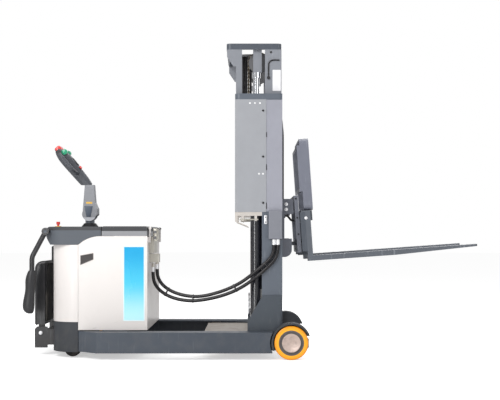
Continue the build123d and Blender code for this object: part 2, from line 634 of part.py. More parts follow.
# Cowl over the motor compartment, with a lip that leans out to the rear
COWL_FRONT_X = LID_SEAM_X - LID_SEAM_GAP / 2
with BuildPart() as cowl:
    with BuildSketch(side_plane(0)):
        with BuildLine():
            TangentArc((PANEL_ARC_X, PANEL_TOP + JOINT_LINE), (COVER_SEAM_X, COVER_TOP + JOINT_LINE),
                       tangent=(-1, 0))
            Polyline(
                (COVER_SEAM_X, COVER_TOP + JOINT_LINE), (BODY_REAR_X, COVER_TOP + JOINT_LINE),
                (COWL_REAR_X, COWL_LIP_Z), (COWL_REAR_X, COWL_TOP), (COWL_FRONT_X, COWL_TOP),
                (COWL_FRONT_X, PANEL_TOP + JOINT_LINE), (PANEL_ARC_X, PANEL_TOP + JOINT_LINE),
            )
        make_face()
    extrude(amount=BODY_HALF_WIDTH, both=True)
    plan = rear_outline(COVER_TOP, COWL_REAR_X, COWL_FRONT_X, BODY_HALF_WIDTH, COWL_CORNER_R)
    extrude(to_extrude=plan, amount=COWL_TOP - COVER_TOP, mode=Mode.INTERSECT)
    top_edges = cowl.faces().sort_by(Axis.Z)[-1].edges().sort_by(Axis.X)[:-1]
    fillet(top_edges, COWL_EDGE_R)
    hollow = rear_outline(COVER_TOP, BODY_REAR_X + COWL_WALL, COWL_FRONT_X - COWL_WALL,
                          BODY_HALF_WIDTH - COWL_WALL, BODY_CORNER_R - COWL_WALL)
    extrude(to_extrude=hollow, amount=COWL_TOP - COWL_WALL - COVER_TOP, mode=Mode.SUBTRACT)
    rod((DRIVE_X, 0, COWL_TOP - 2 * COWL_WALL), (DRIVE_X, 0, COWL_TOP + 1), COLUMN_R + MOVING_GAP,
        mode=Mode.SUBTRACT)
    for side in SIDES.values():
        rod((GUARD_PIVOT_X, side * (GUARD_Y - 80), GUARD_PIVOT_Z),
            (GUARD_PIVOT_X, side * (GUARD_Y + GUARD_TUBE_R), GUARD_PIVOT_Z), GUARD_PIN_R)
save(cowl, "cowl")

# Boot of the steering column, on the cowl
BOOT_HOLLOW_R = COLUMN_R + MOVING_GAP
with BuildPart() as tiller_boot:
    with BuildSketch(Plane.XY.offset(COWL_TOP)):
        with Locations((DRIVE_X, 0)):
            Circle(BOOT_BOTTOM_R)
    with BuildSketch(Plane.XY.offset(BOOT_TOP - 8)):
        with Locations((DRIVE_X, 0)):
            Circle(BOOT_TOP_R)
    loft()
    rod((DRIVE_X, 0, COWL_TOP), (DRIVE_X, 0, BOOT_TOP), BOOT_HOLLOW_R - 3, mode=Mode.SUBTRACT)
save(tiller_boot, "tiller_boot")

# Battery compartment: front panel with hinge stems, lid and battery
LID_FRONT_X = BODY_FRONT_X - 3.0
LID_HINGE_X = BODY_FRONT_X + 13.0
LID_REAR_X = LID_SEAM_X + LID_SEAM_GAP / 2
FRONT_PANEL_TOP = PANEL_TOP - 5.0
with BuildPart() as front_panel:
    block((BODY_FRONT_X - SKIN, -INNER_HALF, PANEL_BOTTOM), (BODY_FRONT_X, INNER_HALF, FRONT_PANEL_TOP))
    for side in SIDES.values():
        low_y, high_y = span(side, LID_HINGE_Y, LID_HINGE_Y + LID_KNUCKLE)
        block((BODY_FRONT_X, low_y, FRONT_PANEL_TOP - 40), (LID_HINGE_X + 4, high_y, FRONT_PANEL_TOP))
        block((LID_HINGE_X - 4, low_y, FRONT_PANEL_TOP), (LID_HINGE_X + 4, high_y, LID_HINGE_Z))
        rod((LID_HINGE_X, low_y, LID_HINGE_Z), (LID_HINGE_X, high_y, LID_HINGE_Z), LID_HINGE_RADIUS)
        rod((LID_HINGE_X, side * (LID_HINGE_Y - LID_KNUCKLE), LID_HINGE_Z),
            (LID_HINGE_X, side * LID_HINGE_Y, LID_HINGE_Z), LID_PIN_R)
save(front_panel, "front_panel")

with BuildPart() as battery_lid:
    block((LID_REAR_X, -BODY_HALF_WIDTH, PANEL_TOP + JOINT_LINE), (LID_FRONT_X, BODY_HALF_WIDTH, LID_TOP))
    fillet(battery_lid.faces().sort_by(Axis.Z)[-1].edges(), LID_EDGE_R)
    block((LID_REAR_X + LID_WALL, -BODY_HALF_WIDTH + LID_WALL, PANEL_TOP),
          (LID_FRONT_X - LID_WALL, BODY_HALF_WIDTH - LID_WALL, LID_TOP - LID_WALL), mode=Mode.SUBTRACT)
    for side in SIDES.values():
        knuckle_start = side * (LID_HINGE_Y - 1)
        knuckle_end = side * (LID_HINGE_Y - LID_KNUCKLE)
        low_y, high_y = min(knuckle_start, knuckle_end), max(knuckle_start, knuckle_end)
        rod((LID_HINGE_X, low_y, LID_HINGE_Z), (LID_HINGE_X, high_y, LID_HINGE_Z), LID_HINGE_RADIUS)
        block((LID_FRONT_X - LID_WALL / 2, low_y, LID_HINGE_Z - 4), (LID_HINGE_X, high_y, LID_HINGE_Z + 4))
        rod((LID_HINGE_X, low_y, LID_HINGE_Z), (LID_HINGE_X, high_y, LID_HINGE_Z),
            LID_PIN_R + RUNNING_GAP, mode=Mode.SUBTRACT)
save(battery_lid, "battery_lid")

with BuildPart() as battery_block:
    block((BEAM_REAR_X + BATTERY_MARGIN, -INNER_HALF + 2 * BATTERY_MARGIN, FLOOR_BOTTOM + FLOOR_THICKNESS),
          (BODY_FRONT_X - SKIN - BATTERY_MARGIN, INNER_HALF - 2 * BATTERY_MARGIN,
           FLOOR_BOTTOM + FLOOR_THICKNESS + BATTERY_HEIGHT))
save(battery_block, "battery_block")

# Emergency stop on the cowl
with BuildPart() as emergency_stop:
    rod((ESTOP_X, ESTOP_Y, COWL_TOP), (ESTOP_X, ESTOP_Y, COWL_TOP + 16), 8)
    rod((ESTOP_X, ESTOP_Y, COWL_TOP + 16), (ESTOP_X, ESTOP_Y, COWL_TOP + 35), 13)
save(emergency_stop, "emergency_stop")

# Knee pad on the rear cover
with BuildPart() as knee_pad:
    block((BODY_REAR_X - PAD_DEPTH, -PAD_HALF_WIDTH, PAD_BOTTOM), (BODY_REAR_X, PAD_HALF_WIDTH, PAD_TOP))
    fillet(knee_pad.faces().sort_by(Axis.X)[0].edges(), 14)
save(knee_pad, "knee_pad")

# Folding platform between the cheeks of its bracket
with BuildPart() as platform_bracket:
    block((BRACKET_BASE_X, -CHEEK_Y - CHEEK / 2, BRACKET_BOTTOM + 20),
          (BODY_REAR_X, CHEEK_Y + CHEEK / 2, BRACKET_TOP - 15))
    for side in SIDES.values():
        plate(
            [
                (PLATFORM_REAR_X, BRACKET_BOTTOM), (BRACKET_BASE_X + 8, BRACKET_BOTTOM),
                (BRACKET_BASE_X + 8, BRACKET_TOP), (PLATFORM_REAR_X + 16, BRACKET_TOP),
                (PLATFORM_REAR_X, BRACKET_TOP - 16),
            ],
            side_plane(side * CHEEK_Y), CHEEK,
        )
        inner_end = CHEEK_Y - CHEEK / 2 - PLATFORM_EAR - 4
        rod((PLATFORM_HINGE_X, side * inner_end, PLATFORM_HINGE_Z),
            (PLATFORM_HINGE_X, side * (CHEEK_Y + CHEEK), PLATFORM_HINGE_Z), PLATFORM_PIN_R)
save(platform_bracket, "platform_bracket")

PLATFORM_FRONT_X = PLATFORM_REAR_X + PLATFORM_THICKNESS
with BuildPart() as platform:
    block((PLATFORM_REAR_X, -PLATFORM_HALF_WIDTH, PLATFORM_BOTTOM),
          (PLATFORM_FRONT_X, PLATFORM_HALF_WIDTH, PLATFORM_TOP))
    fillet(platform.faces().sort_by(Axis.X)[0].edges().group_by(Axis.Z)[-1], 55)
    fillet(platform.edges().filter_by(Axis.Z).group_by(Axis.X)[0], 20)
    for side in SIDES.values():
        ear_y = side * (CHEEK_Y - CHEEK / 2 - 2 - PLATFORM_EAR / 2)
        plate(
            [
                (PLATFORM_HINGE_X - 22, PLATFORM_BOTTOM + 1), (PLATFORM_HINGE_X + 22, PLATFORM_BOTTOM + 1),
                (PLATFORM_HINGE_X + 22, PLATFORM_HINGE_Z), (PLATFORM_HINGE_X - 22, PLATFORM_HINGE_Z),
            ],
            side_plane(ear_y), PLATFORM_EAR,
        )
        low_y, high_y = ear_y - PLATFORM_EAR / 2, ear_y + PLATFORM_EAR / 2
        rod((PLATFORM_HINGE_X, low_y, PLATFORM_HINGE_Z), (PLATFORM_HINGE_X, high_y, PLATFORM_HINGE_Z), 22)
        rod((PLATFORM_HINGE_X, low_y, PLATFORM_HINGE_Z), (PLATFORM_HINGE_X, high_y, PLATFORM_HINGE_Z),
            PLATFORM_PIN_R + RUNNING_GAP, mode=Mode.SUBTRACT)
save(platform, "platform")

with BuildPart() as platform_mat:
    block((PLATFORM_FRONT_X, -PLATFORM_HALF_WIDTH + MAT_INSET, PLATFORM_BOTTOM + MAT_INSET),
          (PLATFORM_FRONT_X + PLATFORM_MAT, PLATFORM_HALF_WIDTH - MAT_INSET, PLATFORM_TOP - MAT_INSET))
save(platform_mat, "platform_mat")

# Guard arms: a bent tube with an eye on the cowl's pin, and a drop-shaped grip
for side_name, side in SIDES.items():
    arm_y = side * GUARD_Y
    with BuildPart() as guard_arm:
        with BuildLine() as route:
            FilletPolyline(
                (GUARD_PIVOT_X, arm_y, GUARD_PIVOT_Z),
                (GUARD_ELBOW_X, arm_y, GUARD_ELBOW_Z),
                (GUARD_ELBOW_X, arm_y, GUARD_TUBE_END_Z),
                radius=GUARD_ELBOW_R,
            )
        with BuildSketch(Plane(origin=route.line @ 0, z_dir=route.line % 0)):
            Circle(GUARD_TUBE_R)
        sweep()
        rod((GUARD_PIVOT_X, arm_y - GUARD_TUBE_R, GUARD_PIVOT_Z),
            (GUARD_PIVOT_X, arm_y + GUARD_TUBE_R, GUARD_PIVOT_Z), GUARD_EYE_R)
        rod((GUARD_PIVOT_X, arm_y - GUARD_TUBE_R - 1, GUARD_PIVOT_Z),
            (GUARD_PIVOT_X, arm_y + GUARD_TUBE_R + 1, GUARD_PIVOT_Z),
            GUARD_PIN_R + RUNNING_GAP, mode=Mode.SUBTRACT)
    save(guard_arm, f"guard_arm_{side_name}")
    with BuildPart() as guard_grip:
        # Grip sections from the top down: height, middle x, depth and width
        grip_sections = [
            (GRIP_TOP_Z, GUARD_ELBOW_X, 46.0, 46.0),
            (470.0, GUARD_ELBOW_X - 12, 66.0, 56.0),
            (370.0, GUARD_ELBOW_X - 22, 80.0, 62.0),
            (GRIP_BOTTOM_Z + 16, GUARD_ELBOW_X - 20, 64.0, 54.0),
            (GRIP_BOTTOM_Z, GUARD_ELBOW_X - 12, 30.0, 30.0),
        ]
        for height, middle_x, depth, width in grip_sections:
            with BuildSketch(Plane.XY.offset(height)):
                with Locations((middle_x, arm_y)):
                    Ellipse(depth / 2, width / 2)
        loft()
        rod((GUARD_ELBOW_X, arm_y, GUARD_TUBE_END_Z), (GUARD_ELBOW_X, arm_y, GRIP_TOP_Z + 1),
            GUARD_TUBE_R + SEAT_GAP, mode=Mode.SUBTRACT)
    save(guard_grip, f"guard_grip_{side_name}")

# Tiller arm: a forked housing on the column's pin, tapering up to the head
HOUSING_CLEAR_R = TILLER_KNUCKLE_R + MOVING_GAP + 1
HOUSING_SLOT = TILLER_KNUCKLE_WIDTH / 2 + MOVING_GAP
with BuildPart() as tiller_arm:
    half_top = TILLER_ARM_TOP_WIDTH / 2
    plate(
        [
            (DRIVE_X - TILLER_HOUSING_R + 3, TILLER_PIVOT_Z), (DRIVE_X - half_top, TILLER_ARM_TOP),
            (DRIVE_X + half_top, TILLER_ARM_TOP), (DRIVE_X + half_top + 8, TILLER_PIVOT_Z + 84),
            (DRIVE_X + HOUSING_BULGE, TILLER_PIVOT_Z + 40), (DRIVE_X + HOUSING_BULGE, TILLER_PIVOT_Z - 4),
            (DRIVE_X + TILLER_HOUSING_R - 6, TILLER_PIVOT_Z - 18),
        ],
        side_plane(0), TILLER_HOUSING_WIDTH,
    )
    rod((DRIVE_X, -TILLER_HOUSING_WIDTH / 2, TILLER_PIVOT_Z),
        (DRIVE_X, TILLER_HOUSING_WIDTH / 2, TILLER_PIVOT_Z),
        TILLER_HOUSING_R)
    with BuildSketch(Plane.YZ.offset(DRIVE_X - 100)):
        with BuildLine():
            Polyline(
                (-TILLER_HOUSING_WIDTH / 2, BOOT_TOP), (TILLER_HOUSING_WIDTH / 2, BOOT_TOP),
                (TILLER_HOUSING_WIDTH / 2, TILLER_PIVOT_Z + 40), (half_top - 2, TILLER_ARM_TOP),
                (-half_top + 2, TILLER_ARM_TOP), (-TILLER_HOUSING_WIDTH / 2, TILLER_PIVOT_Z + 40),
                close=True,
            )
        make_face()
    extrude(amount=200, mode=Mode.INTERSECT)
    rod((DRIVE_X, -HOUSING_SLOT, TILLER_PIVOT_Z), (DRIVE_X, HOUSING_SLOT, TILLER_PIVOT_Z), HOUSING_CLEAR_R,
        mode=Mode.SUBTRACT)
    block((DRIVE_X - 2 * TILLER_HOUSING_R, -HOUSING_SLOT, BOOT_TOP),
          (DRIVE_X + 2 * TILLER_HOUSING_R, HOUSING_SLOT, TILLER_PIVOT_Z), mode=Mode.SUBTRACT)
    plate(
        [
            (DRIVE_X, TILLER_PIVOT_Z),
            (DRIVE_X - 2 * TILLER_HOUSING_R, TILLER_PIVOT_Z + 2 * TILLER_HOUSING_R),
            (DRIVE_X - 2 * TILLER_HOUSING_R, TILLER_PIVOT_Z),
        ],
        side_plane(0), 2 * HOUSING_SLOT, mode=Mode.SUBTRACT,
    )
    rod((DRIVE_X, -TILLER_HOUSING_WIDTH, TILLER_PIVOT_Z), (DRIVE_X, TILLER_HOUSING_WIDTH, TILLER_PIVOT_Z),
        TILLER_PIN_R + RUNNING_GAP, mode=Mode.SUBTRACT)
save(tiller_arm, "tiller_arm")

# Tiller head: a lofted body that leans back, with a hand loop on each side
LEAN = math.radians(TILLER_HEAD_LEAN)
HEAD_RUN = Vector(-math.sin(LEAN), 0, math.cos(LEAN))
HEAD_FACE = Vector(math.cos(LEAN), 0, math.sin(LEAN))
HEAD_START = Vector(DRIVE_X - 8, 0, TILLER_ARM_TOP - 10)


def head_point(along, across=0.0, out=0.0):
    """A point of the head: along it, across the truck and out of its face."""
    return HEAD_START + HEAD_RUN * along + Vector(0, across, 0) + HEAD_FACE * out


with BuildPart() as tiller_head:
    # Head sections: distance along the head, width across the truck, thickness
    head_sections = [
        (0.0, 60.0, 60.0),
        (90.0, 72.0, 80.0),
        (200.0, 112.0, TILLER_HEAD_THICKNESS),
        (300.0, 150.0, 70.0),
        (TILLER_HEAD_LENGTH, 116.0, 44.0),
    ]
    for along, width, thickness in head_sections:
        with BuildSketch(Plane(origin=head_point(along), x_dir=(0, 1, 0), z_dir=HEAD_RUN)):
            RectangleRounded(width, thickness, thickness * 0.4)
    loft()
    for side in SIDES.values():
        with BuildLine() as loop:
            FilletPolyline(
                head_point(120, side * 30), head_point(150, side * 140),
                head_point(285, side * 150), head_point(305, side * 50),
                radius=32,
            )
        with BuildSketch(Plane(origin=loop.line @ 0, z_dir=loop.line % 0)):
            Circle(LOOP_R)
        sweep(path=loop.line)
    block((DRIVE_X - 100, -100, TILLER_ARM_TOP - 80), (DRIVE_X + 100, 100, TILLER_ARM_TOP),
          mode=Mode.SUBTRACT)
save(tiller_head, "tiller_head")

with BuildPart() as tiller_controls:
    with BuildSketch(Plane(origin=head_point(TILLER_HEAD_LENGTH), x_dir=(0, 1, 0), z_dir=HEAD_RUN)):
        RectangleRounded(90, 38, 15)
    extrude(amount=18)
    fillet(tiller_controls.faces().sort_by(Axis.Z)[-1].edges(), 8)
    for side in SIDES.values():
        with BuildSketch(Plane(origin=head_point(314, side * 72), x_dir=HEAD_RUN, z_dir=(0, side, 0))):
            Circle(17)
        extrude(amount=16)
    add(tiller_head.part, mode=Mode.SUBTRACT)
save(tiller_controls, "tiller_controls")

# Reach carriage: base plate, side plates with gussets, rollers in the legs
GUSSET_Y = MAST_HALF_WIDTH + GUSSET_THICKNESS / 2
BASE_TOP = BASE_BOTTOM + BASE_THICKNESS
ROLLER_R = LEG_HEIGHT / 2 - LEG_WALL - SEAT_GAP
ROLLER_Y = LEG_OUTER_Y - LEG_WALL - ROLLER_WIDTH - 24.0
EYE_LUG_Y = EYE_HALF_WIDTH + 1 + EYE_LUG / 2
with BuildPart() as reach_carriage:
    block((CARRIAGE_REAR_X, -MAST_HALF_WIDTH, BASE_BOTTOM), (CARRIAGE_FRONT_X, MAST_HALF_WIDTH, BASE_TOP))
    for side in SIDES.values():
        plate(
            [
                (CARRIAGE_REAR_X, SIDE_PLATE_BOTTOM), (CARRIAGE_FRONT_X, SIDE_PLATE_BOTTOM),
                (CARRIAGE_FRONT_X, 428), (77, 425), (-27, 248), (-27, BASE_TOP + 10),
                (CARRIAGE_REAR_X, BASE_TOP),
            ],
            side_plane(side * GUSSET_Y), GUSSET_THICKNESS,
        )
        for roller_x in ROLLER_XS:
            rod((roller_x, side * ROLLER_Y, LEG_MIDDLE_Z),
                (roller_x, side * (ROLLER_Y + ROLLER_WIDTH), LEG_MIDDLE_Z), ROLLER_R)
            rod((roller_x, side * GUSSET_Y, LEG_MIDDLE_Z), (roller_x, side * ROLLER_Y, LEG_MIDDLE_Z),
                ROLLER_PIN_R)
        plate(
            [
                (REACH_EYE_X - 24, BASE_BOTTOM), (REACH_EYE_X - 11, REACH_AXIS_Z - 11),
                (CARRIAGE_FRONT_X, REACH_AXIS_Z - 11), (CARRIAGE_FRONT_X, BASE_BOTTOM),
            ],
            side_plane(side * EYE_LUG_Y), EYE_LUG,
        )
    rod((REACH_EYE_X, -EYE_LUG_Y, REACH_AXIS_Z), (REACH_EYE_X, EYE_LUG_Y, REACH_AXIS_Z), EYE_PIN_R)
save(reach_carriage, "reach_carriage")

# Reach cylinder from the cross beam, and its rod to the carriage's lugs
EYE_NECK_X = REACH_EYE_X - 28.0
with BuildPart() as reach_cylinder:
    rod((BEAM_FRONT_X, 0, REACH_AXIS_Z), (REACH_BARREL_FRONT_X, 0, REACH_AXIS_Z), REACH_BARREL_R)
    rod((BEAM_FRONT_X + REACH_END_WALL, 0, REACH_AXIS_Z),
        (REACH_BARREL_FRONT_X - REACH_GLAND, 0, REACH_AXIS_Z),
        REACH_BORE_R, mode=Mode.SUBTRACT)
    rod((REACH_BARREL_FRONT_X - REACH_GLAND, 0, REACH_AXIS_Z), (REACH_BARREL_FRONT_X, 0, REACH_AXIS_Z),
        REACH_ROD_R + RUNNING_GAP, mode=Mode.SUBTRACT)
save(reach_cylinder, "reach_cylinder")

with BuildPart() as reach_rod:
    rod((REACH_BARREL_FRONT_X - REACH_GLAND - 18, 0, REACH_AXIS_Z), (EYE_NECK_X, 0, REACH_AXIS_Z),
        REACH_ROD_R)
    rod((EYE_NECK_X, 0, REACH_AXIS_Z), (REACH_EYE_X - EYE_PIN_R - 2, 0, REACH_AXIS_Z), REACH_EYE_R - 3)
    rod((REACH_EYE_X, -EYE_HALF_WIDTH, REACH_AXIS_Z), (REACH_EYE_X, EYE_HALF_WIDTH, REACH_AXIS_Z),
        REACH_EYE_R)
    rod((REACH_EYE_X, -EYE_HALF_WIDTH - 3, REACH_AXIS_Z), (REACH_EYE_X, EYE_HALF_WIDTH + 3, REACH_AXIS_Z),
        EYE_PIN_R + RUNNING_GAP, mode=Mode.SUBTRACT)
save(reach_rod, "reach_rod")

# Outer mast: channels open to the inside, a top bar bent in at its rear ends
MAST_MIDDLE_X = (MAST_REAR_X + MAST_FRONT_X) / 2
MAST_LENGTH = MAST_FRONT_X - MAST_REAR_X
TOP_BAR_Y = MAST_HALF_WIDTH + GUARD_SHEET + SEAT_GAP - TOP_BAR_THICKNESS / 2
with BuildPart() as outer_mast:
    for side in SIDES.values():
        with BuildSketch(Plane.XY.offset(BASE_TOP)) as channel:
            with Locations((MAST_MIDDLE_X, side * (MAST_HALF_WIDTH - MAST_DEPTH / 2))):
                Rectangle(MAST_LENGTH, MAST_DEPTH)
            with Locations((MAST_MIDDLE_X, side * (MAST_HALF_WIDTH - MAST_WEB - MAST_DEPTH / 2))):
                Rectangle(MAST_LENGTH - 2 * MAST_FLANGE, MAST_DEPTH, mode=Mode.SUBTRACT)
        extrude(amount=MAST_TOP - BASE_TOP)
        with BuildSketch(Plane.XY.offset(MAST_TOP - TOP_BAR_HEIGHT)):
            with BuildLine():
                FilletPolyline(
                    (MAST_FRONT_X - TOP_BAR_THICKNESS, side * TOP_BAR_Y),
                    (TOP_BAR_REAR_X + TOP_BAR_THICKNESS / 2, side * TOP_BAR_Y),
                    (TOP_BAR_REAR_X + TOP_BAR_THICKNESS / 2, side * (INNER_HALF_WIDTH + MOVING_GAP)),
                    radius=TOP_BAR_RETURN_R,
                )
            trace(line_width=TOP_BAR_THICKNESS)
        extrude(amount=TOP_BAR_HEIGHT)
    tie_top = MAST_TOP - TOP_BAR_HEIGHT
    block((-60, -TOP_BAR_Y, TIE_BOTTOM), (-27, TOP_BAR_Y, tie_top + 6))
save(outer_mast, "outer_mast")

# Sheet guards beside the mast and the light brackets under them
with BuildPart() as mast_guards:
    for side in SIDES.values():
        low_y, high_y = span(side, MAST_HALF_WIDTH, MAST_HALF_WIDTH + GUARD_SHEET)
        block((TOP_BAR_REAR_X, low_y, GUARD_BOTTOM), (GUARD_FRONT_X, high_y, MAST_TOP - TOP_BAR_HEIGHT))
        low_y, high_y = span(side, INNER_HALF_WIDTH + MOVING_GAP, MAST_HALF_WIDTH)
        block((TOP_BAR_REAR_X, low_y, GUARD_BOTTOM),
              (TOP_BAR_REAR_X + GUARD_SHEET, high_y, MAST_TOP - TOP_BAR_HEIGHT))
save(mast_guards, "mast_guards")

with BuildPart() as mast_bracket:
    for side in SIDES.values():
        low_y, high_y = span(side, MAST_HALF_WIDTH - 12, MAST_HALF_WIDTH)
        block((TOP_BAR_REAR_X, low_y, GUARD_BOTTOM - BRACKET_BAR), (MAST_REAR_X, high_y, GUARD_BOTTOM))
        block((TOP_BAR_REAR_X, low_y, GUARD_BOTTOM - 61),
              (TOP_BAR_REAR_X + 18, high_y, GUARD_BOTTOM - BRACKET_BAR))
        plate(
            [
                (TOP_BAR_REAR_X, GUARD_BOTTOM - 61), (TOP_BAR_REAR_X + 6, GUARD_BOTTOM - 61),
                (-20, 901), (-22, 896), (TOP_BAR_REAR_X, GUARD_BOTTOM - 66),
            ],
            side_plane(side * (MAST_HALF_WIDTH - 6)), 12,
        )
save(mast_bracket, "mast_bracket")

# Hose box on the right of the mast, with two screwed ends under it
HOSE_BOX_Y = -(MAST_HALF_WIDTH + HOSE_BOX_DEPTH / 2)
with BuildPart() as hose_box:
    block((118, -MAST_HALF_WIDTH - HOSE_BOX_DEPTH, HOSE_BOX_BOTTOM), (210, -MAST_HALF_WIDTH, HOSE_BOX_TOP))
    fillet(hose_box.faces().sort_by(Axis.Y)[0].edges(), 3)
    for end_x in HOSE_END_XS:
        rod((end_x, HOSE_BOX_Y, HOSE_END_Z), (end_x, HOSE_BOX_Y, HOSE_BOX_BOTTOM), HOSE_R - 2)
save(hose_box, "hose_box")

# Lift cylinders behind the mast, each clamped to its channel near the top
with BuildPart() as lift_cylinders:
    for side in SIDES.values():
        cylinder_y = side * CYLINDER_Y
        rod((CYLINDER_X, cylinder_y, BASE_TOP), (CYLINDER_X, cylinder_y, CYLINDER_TOP), CYLINDER_R)
        low_y, high_y = span(side, CYLINDER_Y + 30, INNER_HALF_WIDTH + MAST_DEPTH / 2)
        block((CYLINDER_X, low_y, CLAMP_Z), (MAST_REAR_X, high_y, CLAMP_Z + CLAMP_HEIGHT))
        rod((CYLINDER_X, cylinder_y, BASE_TOP + CYLINDER_FLOOR),
            (CYLINDER_X, cylinder_y, CYLINDER_TOP - GLAND_HEIGHT),
            CYLINDER_BORE_R, mode=Mode.SUBTRACT)
        rod((CYLINDER_X, cylinder_y, CYLINDER_TOP - GLAND_HEIGHT), (CYLINDER_X, cylinder_y, CYLINDER_TOP),
            ROD_R + RUNNING_GAP, mode=Mode.SUBTRACT)
save(lift_cylinders, "lift_cylinders")

# Inner mast: channels, head ring, hangers for the rods and sheaves, rollers
INNER_MIDDLE_X = (INNER_REAR_X + INNER_FRONT_X) / 2
INNER_LENGTH = INNER_FRONT_X - INNER_REAR_X
MAST_ROLLER_R = MAST_LENGTH / 2 - MAST_FLANGE - SEAT_GAP
with BuildPart() as inner_mast:
    ring_length = INNER_FRONT_X - INNER_BAR_REAR_X
    ring_middle = (INNER_FRONT_X + INNER_BAR_REAR_X) / 2
    with BuildSketch(Plane.XY.offset(INNER_TOP)):
        with Locations((ring_middle, 0)):
            RectangleRounded(ring_length, 2 * INNER_HALF_WIDTH, TOP_BAR_RETURN_R)
            RectangleRounded(ring_length - 2 * INNER_WEB, 2 * (INNER_HALF_WIDTH - INNER_WEB),
                             TOP_BAR_RETURN_R - INNER_WEB, mode=Mode.SUBTRACT)
    extrude(amount=INNER_BAR_HEIGHT)
    block((HANGER_REAR_X, -INNER_HALF_WIDTH + INNER_WEB / 2, INNER_TOP),
          (HANGER_FRONT_X, INNER_HALF_WIDTH - INNER_WEB / 2, INNER_TOP + 26))
    block((INNER_TIE_REAR_X, -INNER_HALF_WIDTH, INNER_BOTTOM),
          (INNER_REAR_X, INNER_HALF_WIDTH, INNER_BOTTOM + 95))
    for side in SIDES.values():
        with BuildSketch(Plane.XY.offset(INNER_BOTTOM)) as channel:
            with Locations((INNER_MIDDLE_X, side * (INNER_HALF_WIDTH - INNER_DEPTH / 2))):
                Rectangle(INNER_LENGTH, INNER_DEPTH)
            with Locations((INNER_MIDDLE_X, side * (INNER_HALF_WIDTH - INNER_WEB - INNER_DEPTH / 2))):
                Rectangle(INNER_LENGTH - 2 * INNER_FLANGE, INNER_DEPTH, mode=Mode.SUBTRACT)
        extrude(amount=INNER_TOP - INNER_BOTTOM)
        low_y, high_y = span(side, INNER_HALF_WIDTH - INNER_WEB, INNER_HALF_WIDTH)
        block((STRIP_REAR_X, low_y, STRIP_BOTTOM), (STRIP_FRONT_X, high_y, INNER_TOP))
        plate(
            [
                (-169, INNER_TOP), (-169, INNER_TOP - 50), (-125, INNER_TOP - STRIP_DROP),
                (STRIP_REAR_X, INNER_TOP - STRIP_DROP),
                (STRIP_REAR_X, INNER_TOP),
            ],
            side_plane(side * (INNER_HALF_WIDTH - INNER_WEB / 2)), INNER_WEB,
        )
        low_y, high_y = span(side, CYLINDER_Y - HANGER_HALF, CYLINDER_Y + HANGER_HALF)
        block((HANGER_REAR_X, low_y, ROD_HEAD_TOP), (HANGER_FRONT_X, high_y, INNER_TOP))
        rod((SHEAVE_X, side * (SHEAVE_Y - SHEAVE_WIDTH / 2 - 2), SHEAVE_Z),
            (SHEAVE_X, side * CYLINDER_Y, SHEAVE_Z),
            SHEAVE_PIN_R)
        for roller_z in MAST_ROLLER_ZS:
            roller_y = INNER_HALF_WIDTH + MOVING_GAP + 2
            rod((MAST_MIDDLE_X, side * roller_y, roller_z),
                (MAST_MIDDLE_X, side * (roller_y + MAST_ROLLER_WIDTH), roller_z), MAST_ROLLER_R)
            rod((MAST_MIDDLE_X, side * (INNER_HALF_WIDTH - INNER_WEB), roller_z),
                (MAST_MIDDLE_X, side * roller_y, roller_z), ROLLER_PIN_R)
save(inner_mast, "inner_mast")

with BuildPart() as lift_rods:
    for side in SIDES.values():
        rod_y = side * CYLINDER_Y
        rod((CYLINDER_X, rod_y, ROD_BOTTOM), (CYLINDER_X, rod_y, ROD_HEAD_BOTTOM), ROD_R)
        rod((CYLINDER_X, rod_y, ROD_HEAD_BOTTOM), (CYLINDER_X, rod_y, ROD_HEAD_TOP), ROD_R + 8)
save(lift_rods, "lift_rods")

SHEAVE_CORE_R = SHEAVE_PITCH_R - CHAIN_THICKNESS / 2 - 1
with BuildPart() as chain_sheaves:
    for side in SIDES.values():
        low_y, high_y = span(side, SHEAVE_Y - SHEAVE_WIDTH / 2, SHEAVE_Y + SHEAVE_WIDTH / 2)
        rod((SHEAVE_X, low_y, SHEAVE_Z), (SHEAVE_X, high_y, SHEAVE_Z), SHEAVE_CORE_R)
        rod((SHEAVE_X, low_y, SHEAVE_Z), (SHEAVE_X, low_y + 3, SHEAVE_Z), SHEAVE_PITCH_R)
        rod((SHEAVE_X, high_y - 3, SHEAVE_Z), (SHEAVE_X, high_y, SHEAVE_Z), SHEAVE_PITCH_R)
        rod((SHEAVE_X, low_y, SHEAVE_Z), (SHEAVE_X, high_y, SHEAVE_Z), SHEAVE_PIN_R + RUNNING_GAP,
            mode=Mode.SUBTRACT)
save(chain_sheaves, "chain_sheaves")

# Lift chains: rear falls to the outer mast, front falls to the lift carriage, and
# the turns over the sheaves
REAR_FALL_X = SHEAVE_X - SHEAVE_PITCH_R
FRONT_FALL_X = SHEAVE_X + SHEAVE_PITCH_R
with BuildPart() as lift_chains_rear:
    for side in SIDES.values():
        low_y, high_y = span(side, SHEAVE_Y - CHAIN_WIDTH / 2, SHEAVE_Y + CHAIN_WIDTH / 2)
        block((REAR_FALL_X - CHAIN_THICKNESS / 2, low_y, TIE_BOTTOM),
              (REAR_FALL_X + CHAIN_THICKNESS / 2, high_y, SHEAVE_Z))
save(lift_chains_rear, "lift_chains_rear")

with BuildPart() as lift_chains_front:
    for side in SIDES.values():
        low_y, high_y = span(side, SHEAVE_Y - CHAIN_WIDTH / 2, SHEAVE_Y + CHAIN_WIDTH / 2)
        block((FRONT_FALL_X - CHAIN_THICKNESS / 2, low_y, CARRIAGE_ANCHOR_Z),
              (FRONT_FALL_X + CHAIN_THICKNESS / 2, high_y, SHEAVE_Z))
save(lift_chains_front, "lift_chains_front")

